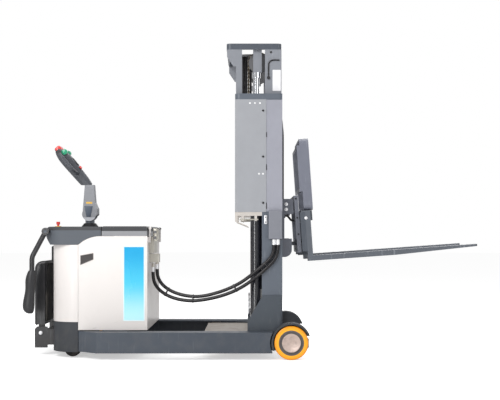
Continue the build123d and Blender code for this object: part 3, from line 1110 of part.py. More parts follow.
with BuildPart() as chain_wraps:
    for side in SIDES.values():
        with BuildSketch(side_plane(side * SHEAVE_Y)):
            with BuildLine():
                outer = CenterArc((SHEAVE_X, SHEAVE_Z), SHEAVE_PITCH_R + CHAIN_THICKNESS / 2, 0, 180)
                inner = CenterArc((SHEAVE_X, SHEAVE_Z), SHEAVE_PITCH_R - CHAIN_THICKNESS / 2, 0, 180)
                Line(outer @ 0, inner @ 0)
                Line(outer @ 1, inner @ 1)
            make_face()
        extrude(amount=CHAIN_WIDTH / 2, both=True)
save(chain_wraps, "chain_wraps")

# Lift carriage: side plates with tilt lugs above and rounded plates below
CARRIAGE_PLATE_Y = INNER_HALF_WIDTH - INNER_DEPTH - MOVING_GAP - 1 - CARRIAGE_PLATE / 2
CARRIAGE_INNER_Y = CARRIAGE_PLATE_Y - CARRIAGE_PLATE / 2
CARRIAGE_ROLLER_R = INNER_LENGTH / 2 - INNER_FLANGE - SEAT_GAP
CARRIAGE_ROLLER_Y = INNER_HALF_WIDTH - INNER_DEPTH + MOVING_GAP
CROSS_REAR_X = MAST_FRONT_X + 1.0
with BuildPart() as lift_carriage:
    for side in SIDES.values():
        with BuildSketch(side_plane(side * CARRIAGE_PLATE_Y)) as cheek:
            with BuildLine():
                Polyline(
                    (CARRIAGE_PLATE_REAR_X, CARRIAGE_PLATE_BOTTOM),
                    (CARRIAGE_PLATE_REAR_X, CARRIAGE_PLATE_TOP),
                    (PIVOT_LUG_X - 8, CARRIAGE_PLATE_TOP), (PIVOT_LUG_X, CARRIAGE_PLATE_TOP - 13),
                    (PIVOT_LUG_X, PIVOT_LUG_BOTTOM), (CARRIAGE_PLATE_FRONT_X, PIVOT_LUG_BOTTOM),
                    (CARRIAGE_PLATE_FRONT_X, RAM_CHEEK_TOP), (RAM_CHEEK_X, RAM_CHEEK_TOP),
                    (RAM_CHEEK_X, RAM_CHEEK_BOTTOM), (CROSS_REAR_X, RAM_CHEEK_BOTTOM),
                    (CROSS_REAR_X, CARRIAGE_PLATE_BOTTOM), close=True,
                )
            make_face()
            fillet(cheek.vertices().sort_by(Axis.Y)[:2].sort_by(Axis.X)[-1], RAM_CHEEK_R)
        extrude(amount=CARRIAGE_PLATE / 2, both=True)
        for roller_z in CARRIAGE_ROLLER_ZS:
            rod((INNER_MIDDLE_X, side * CARRIAGE_ROLLER_Y, roller_z),
                (INNER_MIDDLE_X, side * (CARRIAGE_ROLLER_Y + CARRIAGE_ROLLER_WIDTH), roller_z),
                CARRIAGE_ROLLER_R)
            rod((INNER_MIDDLE_X, side * CARRIAGE_PLATE_Y, roller_z),
                (INNER_MIDDLE_X, side * CARRIAGE_ROLLER_Y, roller_z), ROLLER_PIN_R)
        low_y, high_y = span(side, SHEAVE_Y - CHAIN_WIDTH / 2, CARRIAGE_INNER_Y)
        block((CARRIAGE_PLATE_REAR_X, low_y, CARRIAGE_ANCHOR_Z - 40),
              (FRONT_FALL_X + CHAIN_THICKNESS / 2, high_y, CARRIAGE_ANCHOR_Z))
        rod((TILT_PIVOT_X, side * (CARRIAGE_PLATE_Y + 12), TILT_PIVOT_Z),
            (TILT_PIVOT_X, side * (CARRIAGE_INNER_Y - 24), TILT_PIVOT_Z), TILT_PIN_R)
    for low_z, high_z in CROSS_HEIGHTS:
        block((CROSS_REAR_X, -CARRIAGE_INNER_Y, low_z), (CROSS_FRONT_X, CARRIAGE_INNER_Y, high_z))
    block((CROSS_REAR_X + 2, -150, 962), (CROSS_FRONT_X + 6, -90, 1000))
    rod((TILT_RAM_REAR_X, 0, TILT_RAM_Z), (TILT_RAM_FRONT_X, 0, TILT_RAM_Z), TILT_RAM_R)
    rod((TILT_RAM_REAR_X + TILT_RAM_WALL, 0, TILT_RAM_Z), (TILT_RAM_FRONT_X, 0, TILT_RAM_Z),
        TILT_ROD_R + RUNNING_GAP, mode=Mode.SUBTRACT)
save(lift_carriage, "lift_carriage")

# Tilting group, drawn from the tilt pivot: forward along the forks, and up
TILT = math.radians(TILT_REST)
TILT_PIVOT = Vector(TILT_PIVOT_X, 0, TILT_PIVOT_Z)
TILT_FORWARD = Vector(math.cos(TILT), 0, math.sin(TILT))
TILT_UP = Vector(-math.sin(TILT), 0, math.cos(TILT))


def tilt_side(y):
    """The plane of a plate along the forks at y, drawn forward and up."""
    return Plane(origin=TILT_PIVOT + Vector(0, y, 0), x_dir=TILT_FORWARD, z_dir=(0, -1, 0))


def tilt_front(forward):
    """The plane across the forks, drawn across the truck and up."""
    return Plane(origin=TILT_PIVOT + TILT_FORWARD * forward, x_dir=(0, 1, 0), z_dir=TILT_FORWARD)


def tilt_block(low, high):
    """A block between corners given forward, across and up from the pivot."""
    with BuildSketch(tilt_front(low[0])) as face:
        with Locations(((low[1] + high[1]) / 2, (low[2] + high[2]) / 2)):
            Rectangle(high[1] - low[1], high[2] - low[2])
    extrude(to_extrude=face.sketch, amount=high[0] - low[0])


TILT_FRAME_FRONT = TILT_FRAME_REAR + TILT_FRAME_DEPTH
TILT_EAR_Y = CARRIAGE_INNER_Y - MOVING_GAP - TILT_EAR / 2
RAM_LUG_Y = RAM_EYE_HALF + 3 + RAM_LUG / 2
with BuildPart() as tilt_frame:
    with BuildSketch(tilt_front(TILT_FRAME_REAR)):
        with Locations((0, (TILT_FRAME_TOP + TILT_FRAME_BOTTOM) / 2)):
            RectangleRounded(2 * TILT_HALF_WIDTH, TILT_FRAME_TOP - TILT_FRAME_BOTTOM, 12)
            Rectangle(2 * WINDOW_Y, TILT_FRAME_TOP - TILT_FRAME_BOTTOM - 110, mode=Mode.SUBTRACT)
    extrude(amount=TILT_FRAME_DEPTH)
    for side in SIDES.values():
        plate(
            [(-12, TILT_EAR_R - 4), (TILT_FRAME_REAR + 1, TILT_EAR_R + 14),
             (TILT_FRAME_REAR + 1, -TILT_EAR_R - 14), (-12, -TILT_EAR_R + 4)],
            tilt_side(side * TILT_EAR_Y), TILT_EAR,
        )
        low_y, high_y = span(side, TILT_EAR_Y - TILT_EAR / 2, TILT_EAR_Y + TILT_EAR / 2)
        rod((TILT_PIVOT_X, low_y, TILT_PIVOT_Z), (TILT_PIVOT_X, high_y, TILT_PIVOT_Z), TILT_EAR_R)
        rod((TILT_PIVOT_X, low_y - 1, TILT_PIVOT_Z), (TILT_PIVOT_X, high_y + 1, TILT_PIVOT_Z),
            TILT_PIN_R + RUNNING_GAP, mode=Mode.SUBTRACT)
        plate(
            [(RAM_PIN_X - 8, TILT_RAM_Z - 10), (RAM_PIN_X - 8, TILT_RAM_Z + 10),
             (RAM_PIN_X + 24, TILT_RAM_Z + 14), (RAM_PIN_X + 24, TILT_RAM_Z - 14)],
            side_plane(side * RAM_LUG_Y), RAM_LUG,
        )
    rod((RAM_PIN_X, -RAM_LUG_Y, TILT_RAM_Z), (RAM_PIN_X, RAM_LUG_Y, TILT_RAM_Z), RAM_PIN_R)
    tilt_block((TILT_FRAME_REAR, -RAM_LUG_Y - 8, -300), (TILT_FRAME_FRONT, RAM_LUG_Y + 8, -230))
save(tilt_frame, "tilt_frame")

with BuildPart() as tilt_rod:
    rod((TILT_RAM_FRONT_X - 60, 0, TILT_RAM_Z), (RAM_PIN_X - RAM_EYE_R, 0, TILT_RAM_Z), TILT_ROD_R)
    rod((RAM_PIN_X - RAM_EYE_R, 0, TILT_RAM_Z), (RAM_PIN_X - RAM_PIN_R - 3, 0, TILT_RAM_Z), RAM_EYE_HALF)
    rod((RAM_PIN_X, -RAM_EYE_HALF, TILT_RAM_Z), (RAM_PIN_X, RAM_EYE_HALF, TILT_RAM_Z), RAM_EYE_R)
    rod((RAM_PIN_X, -RAM_EYE_HALF - 1, TILT_RAM_Z), (RAM_PIN_X, RAM_EYE_HALF + 1, TILT_RAM_Z), RAM_PIN_R + 3,
        mode=Mode.SUBTRACT)
save(tilt_rod, "tilt_rod")

# Fork carriage: two bars and uprights, pads and lower clamps of the side shift
FORK_PLATE_REAR = TILT_FRAME_FRONT + SHIFT_GAP
FORK_PLATE_FRONT = FORK_PLATE_REAR + FORK_PLATE
with BuildPart() as fork_carriage:
    tilt_block((FORK_PLATE_REAR, -FORK_HALF_SPREAD, FORK_PLATE_TOP - 75),
               (FORK_PLATE_FRONT, FORK_HALF_SPREAD, FORK_PLATE_TOP))
    tilt_block((FORK_PLATE_REAR, -FORK_HALF_SPREAD, FORK_PLATE_BOTTOM),
               (FORK_PLATE_FRONT, FORK_HALF_SPREAD, FORK_PLATE_BOTTOM + 78))
    for side in SIDES.values():
        for near, far in ((60, 100), (FORK_HALF_SPREAD - 25, FORK_HALF_SPREAD)):
            low_y, high_y = span(side, near, far)
            tilt_block((FORK_PLATE_REAR, low_y, FORK_PLATE_BOTTOM),
                       (FORK_PLATE_FRONT, high_y, FORK_PLATE_TOP))
        low_y, high_y = span(side, WINDOW_Y + 6, TILT_HALF_WIDTH - 6)
        for pad_low in (FORK_PLATE_TOP - 60, FORK_PLATE_BOTTOM + 16):
            tilt_block((TILT_FRAME_FRONT + SEAT_GAP, low_y, pad_low), (FORK_PLATE_REAR, high_y, pad_low + 44))
        low_y, high_y = span(side, 120, 180)
        tilt_block((FORK_PLATE_REAR, low_y, FORK_PLATE_BOTTOM - CLAMP_DROP),
                   (FORK_PLATE_FRONT, high_y, FORK_PLATE_BOTTOM))
        tilt_block((TILT_FRAME_REAR + 8, low_y, FORK_PLATE_BOTTOM - CLAMP_DROP),
                   (FORK_PLATE_REAR, high_y, TILT_FRAME_BOTTOM - MOVING_GAP))
save(fork_carriage, "fork_carriage")

# Backrest: a flat bar bent to a ring, standing on two feet, with upright bars
with BuildPart() as backrest:
    height = BACKREST_TOP - BACKREST_BOTTOM
    with BuildSketch(tilt_front(BACKREST_REAR)):
        with Locations((0, (BACKREST_TOP + BACKREST_BOTTOM) / 2)):
            RectangleRounded(2 * FORK_HALF_SPREAD, height, BACKREST_CORNER_R)
            RectangleRounded(2 * (FORK_HALF_SPREAD - BACKREST_BAR), height - 2 * BACKREST_BAR,
                             BACKREST_CORNER_R - BACKREST_BAR, mode=Mode.SUBTRACT)
    extrude(amount=BACKREST_DEPTH)
    grille_rear = BACKREST_REAR - GRILLE_DEPTH
    for bar_low in (98, 393):
        tilt_block((grille_rear, -FORK_HALF_SPREAD, bar_low), (BACKREST_REAR, FORK_HALF_SPREAD, bar_low + 25))
    for bar_y in (-321, -200, -100, 0, 100, 200, 321):
        tilt_block((grille_rear, bar_y - 9, 98), (BACKREST_REAR, bar_y + 9, 418))
    for side in SIDES.values():
        low_y, high_y = span(side, 110, 170)
        tilt_block((FORK_PLATE_REAR + 4, low_y, FORK_PLATE_TOP),
                   (BACKREST_REAR + 30, high_y, BACKREST_BOTTOM))
save(backrest, "backrest")

# Forks: a shank hung on the carriage and a blade that tapers to its tip
SHANK_FRONT = FORK_PLATE_FRONT + FORK_THICKNESS
FORK_TIP = SHANK_FRONT + FORK_LENGTH
BLADE_BOTTOM = BLADE_TOP - FORK_THICKNESS
with BuildPart() as forks:
    for side in SIDES.values():
        fork_y = side * (FORK_HALF_SPREAD - FORK_WIDTH / 2)
        with BuildSketch(tilt_side(fork_y)):
            with BuildLine():
                Polyline(
                    (FORK_PLATE_REAR + 8, FORK_PLATE_TOP), (FORK_PLATE_REAR + 8, FORK_PLATE_TOP + FORK_HOOK),
                    (SHANK_FRONT, FORK_PLATE_TOP + FORK_HOOK), (SHANK_FRONT, BLADE_TOP),
                    (FORK_TIP, BLADE_TOP),
                    (FORK_TIP, BLADE_TOP - FORK_TIP_THICKNESS), (FORK_TIP - FORK_LENGTH / 2, BLADE_BOTTOM),
                    (FORK_PLATE_FRONT, BLADE_BOTTOM), (FORK_PLATE_FRONT, FORK_PLATE_TOP), close=True,
                )
            make_face()
        extrude(amount=FORK_WIDTH / 2, both=True)
        tilt_block((SHANK_FRONT, fork_y - 30, -105), (SHANK_FRONT + 14, fork_y + 30, -38))
    upright_edges = forks.edges().filter_by(lambda edge: abs((edge % 0.5).dot(TILT_UP)) > 0.99)
    fillet(upright_edges.sort_by(Axis.X)[-4:], FORK_WIDTH * 0.3)
save(forks, "forks")

# Short hoses from the carriage to the tilt frame
with BuildPart() as carriage_hoses:
    for hose_y in (-135, -105):
        with BuildLine() as route:
            FilletPolyline((CROSS_FRONT_X + 6, hose_y, 978), (258, hose_y, 978), (285, hose_y, 945),
                           (306, hose_y, 945), radius=14)
        with BuildSketch(Plane(origin=route.line @ 0, z_dir=route.line % 0)):
            Circle(7)
        sweep(path=route.line)
save(carriage_hoses, "carriage_hoses")

# Hoses down the front of the mast, from its head ring to the carriage
with BuildPart() as mast_hoses:
    for hose_y in (-150, -120):
        with BuildLine() as route:
            FilletPolyline(
                (INNER_FRONT_X - INNER_WEB / 2, hose_y, INNER_TOP),
                (INNER_FRONT_X - INNER_WEB / 2, hose_y, 1780),
                (224, hose_y, 1560),
                (224, hose_y, 1085),
                radius=[500, 500],
            )
        with BuildSketch(Plane(origin=route.line @ 0, z_dir=route.line % 0)):
            Circle(7)
        sweep(path=route.line)
save(mast_hoses, "mast_hoses")

# Hose ends on the body's front
with BuildPart() as hose_fittings:
    block((BODY_FRONT_X, FITTING_Y - 45, FITTING_TOP), (FITTING_XS[1] + 18, FITTING_Y + 45, FITTING_TOP + 60))
    for end_x, bottom in zip(FITTING_XS, FITTING_BOTTOMS):
        rod((end_x, FITTING_Y, bottom), (end_x, FITTING_Y, FITTING_TOP), HOSE_R - 2)
    block((BODY_FRONT_X, -330, 718), (BODY_FRONT_X + 38, -200, 828))
    block((BODY_FRONT_X, -180, 718), (BODY_FRONT_X + 34, -60, 828))
save(hose_fittings, "hose_fittings")

# Two hoses that sag from the body to the hose box. The points are where the
# straight runs would meet, and each bend is as large as its two runs allow.
HOSE_ROUTES = {
    "hose_upper": [
        (FITTING_XS[1], FITTING_Y, FITTING_BOTTOMS[1]), (FITTING_XS[1], FITTING_Y, 565), (-641, -258, 514),
        (-603, -263, 474), (-545, -273, 441), (-463, -291, 417), (-354, -322, 411), (-210, -353, 448),
        (-80, -383, 506), (24, -407, 586), (88, HOSE_BOX_Y, 640), (134, HOSE_BOX_Y, 686),
        (HOSE_END_XS[0], HOSE_BOX_Y, 734), (HOSE_END_XS[0], HOSE_BOX_Y, HOSE_END_Z),
    ],
    "hose_lower": [
        (FITTING_XS[0], FITTING_Y, FITTING_BOTTOMS[0]), (FITTING_XS[0], FITTING_Y, 535), (-669, -258, 484),
        (-631, -263, 444), (-571, -273, 409), (-484, -293, 386), (-374, -319, 382), (-196, -353, 420),
        (-60, -383, 482), (44, HOSE_BOX_Y, 562), (128, HOSE_BOX_Y, 636), (163, HOSE_BOX_Y, 677),
        (HOSE_END_XS[1], HOSE_BOX_Y, 732), (HOSE_END_XS[1], HOSE_BOX_Y, HOSE_END_Z),
    ],
}


def bend_radii(points):
    """The radius of each corner of a route, from its two runs and its turn."""
    radii = []
    for before, corner, after in zip(points, points[1:], points[2:]):
        run_in = Vector(*corner) - Vector(*before)
        run_out = Vector(*after) - Vector(*corner)
        half_turn = math.radians(run_in.get_angle(run_out)) / 2
        radii.append(0.45 * min(run_in.length, run_out.length) / math.tan(half_turn))
    return radii


for hose_name, points in HOSE_ROUTES.items():
    radii = bend_radii(points)
    print(hose_name, "bend radii", [round(radius) for radius in radii])
    with BuildPart() as hose:
        with BuildLine() as route:
            FilletPolyline(*points, radius=radii)
        with BuildSketch(Plane(origin=route.line @ 0, z_dir=route.line % 0)):
            Circle(HOSE_R)
        sweep(path=route.line)
    length = sum(edge.length for edge in route.edges())
    print(hose_name, "length", round(length), "volume", round(hose.part.volume),
          "section times length", round(math.pi * HOSE_R**2 * length))
    save(hose, hose_name)
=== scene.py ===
# %% [markdown]
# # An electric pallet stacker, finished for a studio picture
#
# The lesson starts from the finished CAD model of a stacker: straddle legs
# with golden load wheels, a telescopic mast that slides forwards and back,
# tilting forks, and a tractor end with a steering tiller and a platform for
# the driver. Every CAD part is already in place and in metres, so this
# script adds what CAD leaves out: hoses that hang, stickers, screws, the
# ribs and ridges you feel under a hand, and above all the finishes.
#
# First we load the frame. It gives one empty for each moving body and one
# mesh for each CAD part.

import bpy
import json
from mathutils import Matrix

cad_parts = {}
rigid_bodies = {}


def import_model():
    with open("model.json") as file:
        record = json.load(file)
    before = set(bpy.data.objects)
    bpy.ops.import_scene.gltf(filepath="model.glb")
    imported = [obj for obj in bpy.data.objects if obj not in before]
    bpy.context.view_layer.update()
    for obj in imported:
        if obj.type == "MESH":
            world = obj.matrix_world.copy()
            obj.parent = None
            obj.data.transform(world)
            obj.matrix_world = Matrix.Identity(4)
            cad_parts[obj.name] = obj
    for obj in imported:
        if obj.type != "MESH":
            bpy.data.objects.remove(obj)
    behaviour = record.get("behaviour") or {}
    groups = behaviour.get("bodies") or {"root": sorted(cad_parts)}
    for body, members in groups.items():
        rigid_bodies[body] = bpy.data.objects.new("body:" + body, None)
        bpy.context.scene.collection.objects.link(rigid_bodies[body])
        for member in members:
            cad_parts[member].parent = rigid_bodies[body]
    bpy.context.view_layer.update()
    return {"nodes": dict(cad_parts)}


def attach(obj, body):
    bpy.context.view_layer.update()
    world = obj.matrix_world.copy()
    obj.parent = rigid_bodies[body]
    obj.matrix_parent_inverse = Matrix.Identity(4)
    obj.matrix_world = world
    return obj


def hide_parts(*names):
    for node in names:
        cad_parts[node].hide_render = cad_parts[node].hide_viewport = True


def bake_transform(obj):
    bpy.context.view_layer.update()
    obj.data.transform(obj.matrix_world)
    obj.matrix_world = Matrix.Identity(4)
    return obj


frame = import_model()

# %% Modules for the modelling
import json
import math

import bmesh
import bpy
from mathutils import Matrix, Vector

nodes = frame["nodes"]

# %% [markdown]
# ## The camera
#
# The stacker is seen square from its right-hand side, from about seven
# metres away, with the lens at the height of the battery lid. A level
# camera keeps the mast upright in the picture, and a small upward shift,
# like that of a camera with a rising front, fits the top of the mast in.

# %% Camera
CAMERA_PLACE = (-0.010, -7.020, 0.841)
LENS_MM = 69.5
RISE = 0.07

camera_data = bpy.data.cameras.new("side_camera")
camera_data.lens = LENS_MM
camera_data.sensor_width = 36
camera_data.shift_y = RISE
camera_data.clip_end = 200
camera = bpy.data.objects.new("side_camera", camera_data)
bpy.context.collection.objects.link(camera)
camera.location = CAMERA_PLACE
camera.rotation_euler = (math.radians(90), 0, 0)
scene = bpy.context.scene
scene.camera = camera
scene.view_settings.view_transform = "Standard"
print("camera", CAMERA_PLACE, "lens", LENS_MM)

# %% [markdown]
# ## Two hoses that hang between the tractor and the mast
#
# Oil goes to the mast through two thick rubber hoses. They hang free,
# because the mast slides to and fro and needs their spare length. Each one
# could be a chain of cylinders, but a hose has no corners, so we give a
# spline the points that its line bends towards and let it pass smoothly
# between them. Its first and last points lie on the fittings.
#
# The hoses bend when the mast slides. We turn each one into a mesh tube.

# %% Hose routes and the maker of a hose
HOSE_RADIUS = 0.012
FITTING_Y = -0.255
HOSE_BOX_Y = -0.409
HOSE_ROUTES = {
    "hose_above": [
        (-0.662, FITTING_Y, 0.620), (-0.662, FITTING_Y, 0.565), (-0.641, -0.258, 0.514),
        (-0.603, -0.263, 0.474), (-0.545, -0.273, 0.441), (-0.463, -0.291, 0.417), (-0.354, -0.322, 0.411),
        (-0.210, -0.353, 0.448), (-0.080, -0.383, 0.506), (0.024, -0.407, 0.586), (0.088, HOSE_BOX_Y, 0.640),
        (0.134, HOSE_BOX_Y, 0.686), (0.154, HOSE_BOX_Y, 0.734), (0.154, HOSE_BOX_Y, 0.786),
    ],
    "hose_below": [
        (-0.690, FITTING_Y, 0.600), (-0.690, FITTING_Y, 0.535), (-0.669, -0.258, 0.484),
        (-0.631, -0.263, 0.444), (-0.571, -0.273, 0.409), (-0.484, -0.293, 0.386), (-0.374, -0.319, 0.382),
        (-0.196, -0.353, 0.420), (-0.060, -0.383, 0.482), (0.044, HOSE_BOX_Y, 0.562),
        (0.128, HOSE_BOX_Y, 0.636), (0.163, HOSE_BOX_Y, 0.677), (0.182, HOSE_BOX_Y, 0.732),
        (0.182, HOSE_BOX_Y, 0.786),
    ],
}


def spline_object(name, points, radius):
    """A smooth open curve that bends towards the given points."""
    curve = bpy.data.curves.new(name, "CURVE")
    curve.dimensions = "3D"
    curve.resolution_u = 12
    curve.bevel_depth = radius
    curve.bevel_resolution = 5
    curve.use_fill_caps = radius > 0
    spline = curve.splines.new("NURBS")
    spline.points.add(len(points) - 1)
    for point, place in zip(spline.points, points):
        point.co = (*place, 1)
    spline.order_u = 3
    spline.use_endpoint_u = True
    piece = bpy.data.objects.new(name, curve)
    bpy.context.collection.objects.link(piece)
    return piece


def line_of(points):
    """The points that a bare spline through these points passes, in order."""
    bare = spline_object("line", points, 0)
    mesh = bpy.data.meshes.new_from_object(bare)
    places = [vertex.co.copy() for vertex in mesh.vertices]
    bpy.data.objects.remove(bare)
    return places


def only(piece):
    """Select one piece alone, so that the next operator acts on it and nothing else."""
    bpy.ops.object.select_all(action="DESELECT")
    piece.select_set(True)
    bpy.context.view_layer.objects.active = piece


def hose(name, points, radius):
    """A hose as a mesh tube, with the points of its centreline."""
    piece = spline_object(name, points, radius)
    only(piece)
    bpy.ops.object.convert(target="MESH")
    bpy.ops.object.shade_smooth()
    line = line_of(points)
    length = sum((b - a).length for a, b in zip(line, line[1:]))
    print(name, "length", round(length, 3), "m")
    return bpy.context.view_layer.objects.active, line, length


hoses = []
for name, stands_for in (("hose_above", "hose_upper"), ("hose_below", "hose_lower")):
    piece, line, length = hose(name, HOSE_ROUTES[name], HOSE_RADIUS)
    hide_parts(stands_for)
    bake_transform(piece)
    hoses.append(piece)

# %% [markdown]
# ## Floor, background and light
#
# A product picture needs a plain pale floor that fades into a white
# background. A painted curve behind the stacker would be in the way as
# soon as the camera goes round it, so the floor is one large flat disc and
# the world is white where the camera sees it. The floor still takes the
# stacker's shadow, which tells the eye that it stands.
#
# Light comes from everywhere at a low level, with one broad soft lamp
# above the camera's left shoulder and a weaker one on the other side. A tall
# narrow lamp gives the long upright streak that shows how round a cylinder
# is, and two more lamps light the top and the far side.

# %% Floor
FLOOR_RADIUS = 40.0
FLOOR_WHITE = 0.86
FLOOR_LIFT = 0.50

bpy.ops.object.select_all(action="DESELECT")
bpy.ops.mesh.primitive_circle_add(vertices=96, radius=FLOOR_RADIUS, fill_type="NGON", location=(0, 0, 0))
floor = bpy.context.object
floor.name = "floor"

floor_white = bpy.data.materials.new("studio_floor")
floor_white.use_nodes = True
tree = floor_white.node_tree
tree.nodes.clear()
matt = tree.nodes.new("ShaderNodeBsdfDiffuse")
matt.inputs["Color"].default_value = (FLOOR_WHITE, FLOOR_WHITE, FLOOR_WHITE, 1)
glow = tree.nodes.new("ShaderNodeEmission")
glow.inputs["Strength"].default_value = FLOOR_LIFT
seen = tree.nodes.new("ShaderNodeLightPath")
lifted = tree.nodes.new("ShaderNodeAddShader")
switch = tree.nodes.new("ShaderNodeMixShader")
surface = tree.nodes.new("ShaderNodeOutputMaterial")
tree.links.new(matt.outputs[0], lifted.inputs[0])
tree.links.new(glow.outputs[0], lifted.inputs[1])
tree.links.new(seen.outputs["Is Camera Ray"], switch.inputs[0])
tree.links.new(matt.outputs[0], switch.inputs[1])
tree.links.new(lifted.outputs[0], switch.inputs[2])
tree.links.new(switch.outputs[0], surface.inputs["Surface"])
floor.data.materials.append(floor_white)

# %% World and lamps
WORLD_LEVEL = 0.55
world = bpy.data.worlds.new("studio")
scene.world = world
world.use_nodes = True
tree = world.node_tree
tree.nodes.clear()
ambient = tree.nodes.new("ShaderNodeBackground")
ambient.inputs["Color"].default_value = (1, 1, 1, 1)
ambient.inputs["Strength"].default_value = WORLD_LEVEL
white = tree.nodes.new("ShaderNodeBackground")
white.inputs["Color"].default_value = (1, 1, 1, 1)
seen = tree.nodes.new("ShaderNodeLightPath")
switch = tree.nodes.new("ShaderNodeMixShader")
surface = tree.nodes.new("ShaderNodeOutputWorld")
tree.links.new(seen.outputs["Is Camera Ray"], switch.inputs[0])
tree.links.new(ambient.outputs[0], switch.inputs[1])
tree.links.new(white.outputs[0], switch.inputs[2])
tree.links.new(switch.outputs[0], surface.inputs["Surface"])


def softbox(name, place, aim, width, height, watts):
    """A broad soft lamp at one place, turned towards another."""
    lamp = bpy.data.lights.new(name, "AREA")
    lamp.shape = "RECTANGLE"
    lamp.size, lamp.size_y = width, height
    lamp.energy = watts
    stand = bpy.data.objects.new(name, lamp)
    bpy.context.collection.objects.link(stand)
    stand.location = place
    stand.rotation_euler = (Vector(aim) - Vector(place)).to_track_quat("-Z", "Y").to_euler()
    print(name, watts, "W")


# Each lamp: its place, what it is turned to, its width and height, and its watts
LAMPS = {
    "key_light": ((-3.2, -4.6, 4.4), (0, 0, 0.9), 3.0, 2.2, 195),
    "fill_light": ((4.6, -4.2, 2.4), (0.2, 0, 0.9), 2.0, 2.6, 60),
    "streak_light": ((-2.6, -4.4, 1.3), (0, 0, 0.9), 0.35, 2.6, 45),
    "top_light": ((0, 0.8, 5.2), (0, 0, 1.0), 4.0, 2.4, 110),
    "back_light": ((1.5, 5.0, 3.4), (0, 0, 1.0), 3.4, 2.2, 70),
}
for name, lamp in LAMPS.items():
    softbox(name, *lamp)

# %% [markdown]
# ## Shader maths written as formulas
#
# A finish is a recipe: a base colour, changed a little by a slow noise,
# darkened where dust settles, with fine bumps. Wired by hand, even a small
# recipe is a web of Math nodes. So we wrap a socket in a small class whose
# plus, minus and times add the nodes for us, and then a mask can be written
# like school algebra. Colours go through Mix and Vector Math nodes, because
# a Math node would turn them grey.

# %% A socket that can do arithmetic
class Signal:
    """One value that a material works out at each point of a surface."""

    def __init__(self, finish, socket, colour=False):
        self.finish = finish
        self.socket = socket
        self.colour = colour

    def _join(self, operation, first, second):
        if self.colour:
            node = self.finish.node("ShaderNodeVectorMath", {"operation": operation}, {0: first, 1: second})
            return Signal(self.finish, node.outputs[0], True)
        node = self.finish.node("ShaderNodeMath", {"operation": operation}, {0: first, 1: second})
        return Signal(self.finish, node.outputs[0])

    def __add__(self, other):
        return self._join("ADD", self, other)

    __radd__ = __add__

    def __sub__(self, other):
        return self._join("SUBTRACT", self, other)

    def __rsub__(self, other):
        return self._join("SUBTRACT", other, self)

    def __mul__(self, other):
        return self._join("MULTIPLY", self, other)

    __rmul__ = __mul__

    def __truediv__(self, other):
        return self._join("DIVIDE", self, other)

    def __pow__(self, other):
        return self._join("POWER", self, other)

    def clipped(self):
        """The value kept between 0 and 1."""
        return self._join("MAXIMUM", self._join("MINIMUM", self, 1), 0)

    def above(self, low, high):
        """0 under low, 1 over high, and a smooth ramp between."""
        settings = {"interpolation_type": "SMOOTHSTEP"}
        values = {"Value": self, "From Min": low, "From Max": high}
        return Signal(self.finish, self.finish.node("ShaderNodeMapRange", settings, values).outputs["Result"])

    def sine(self):
        """The sine of the value, for rings and other things that repeat."""
        node = self.finish.node("ShaderNodeMath", {"operation": "SINE"}, {0: self})
        return Signal(self.finish, node.outputs[0])

    def band(self, low, high, soft):
        """1 between low and high, 0 outside, with edges that are soft wide."""
        return self.above(low - soft, low + soft) * (1 - self.above(high - soft, high + soft))


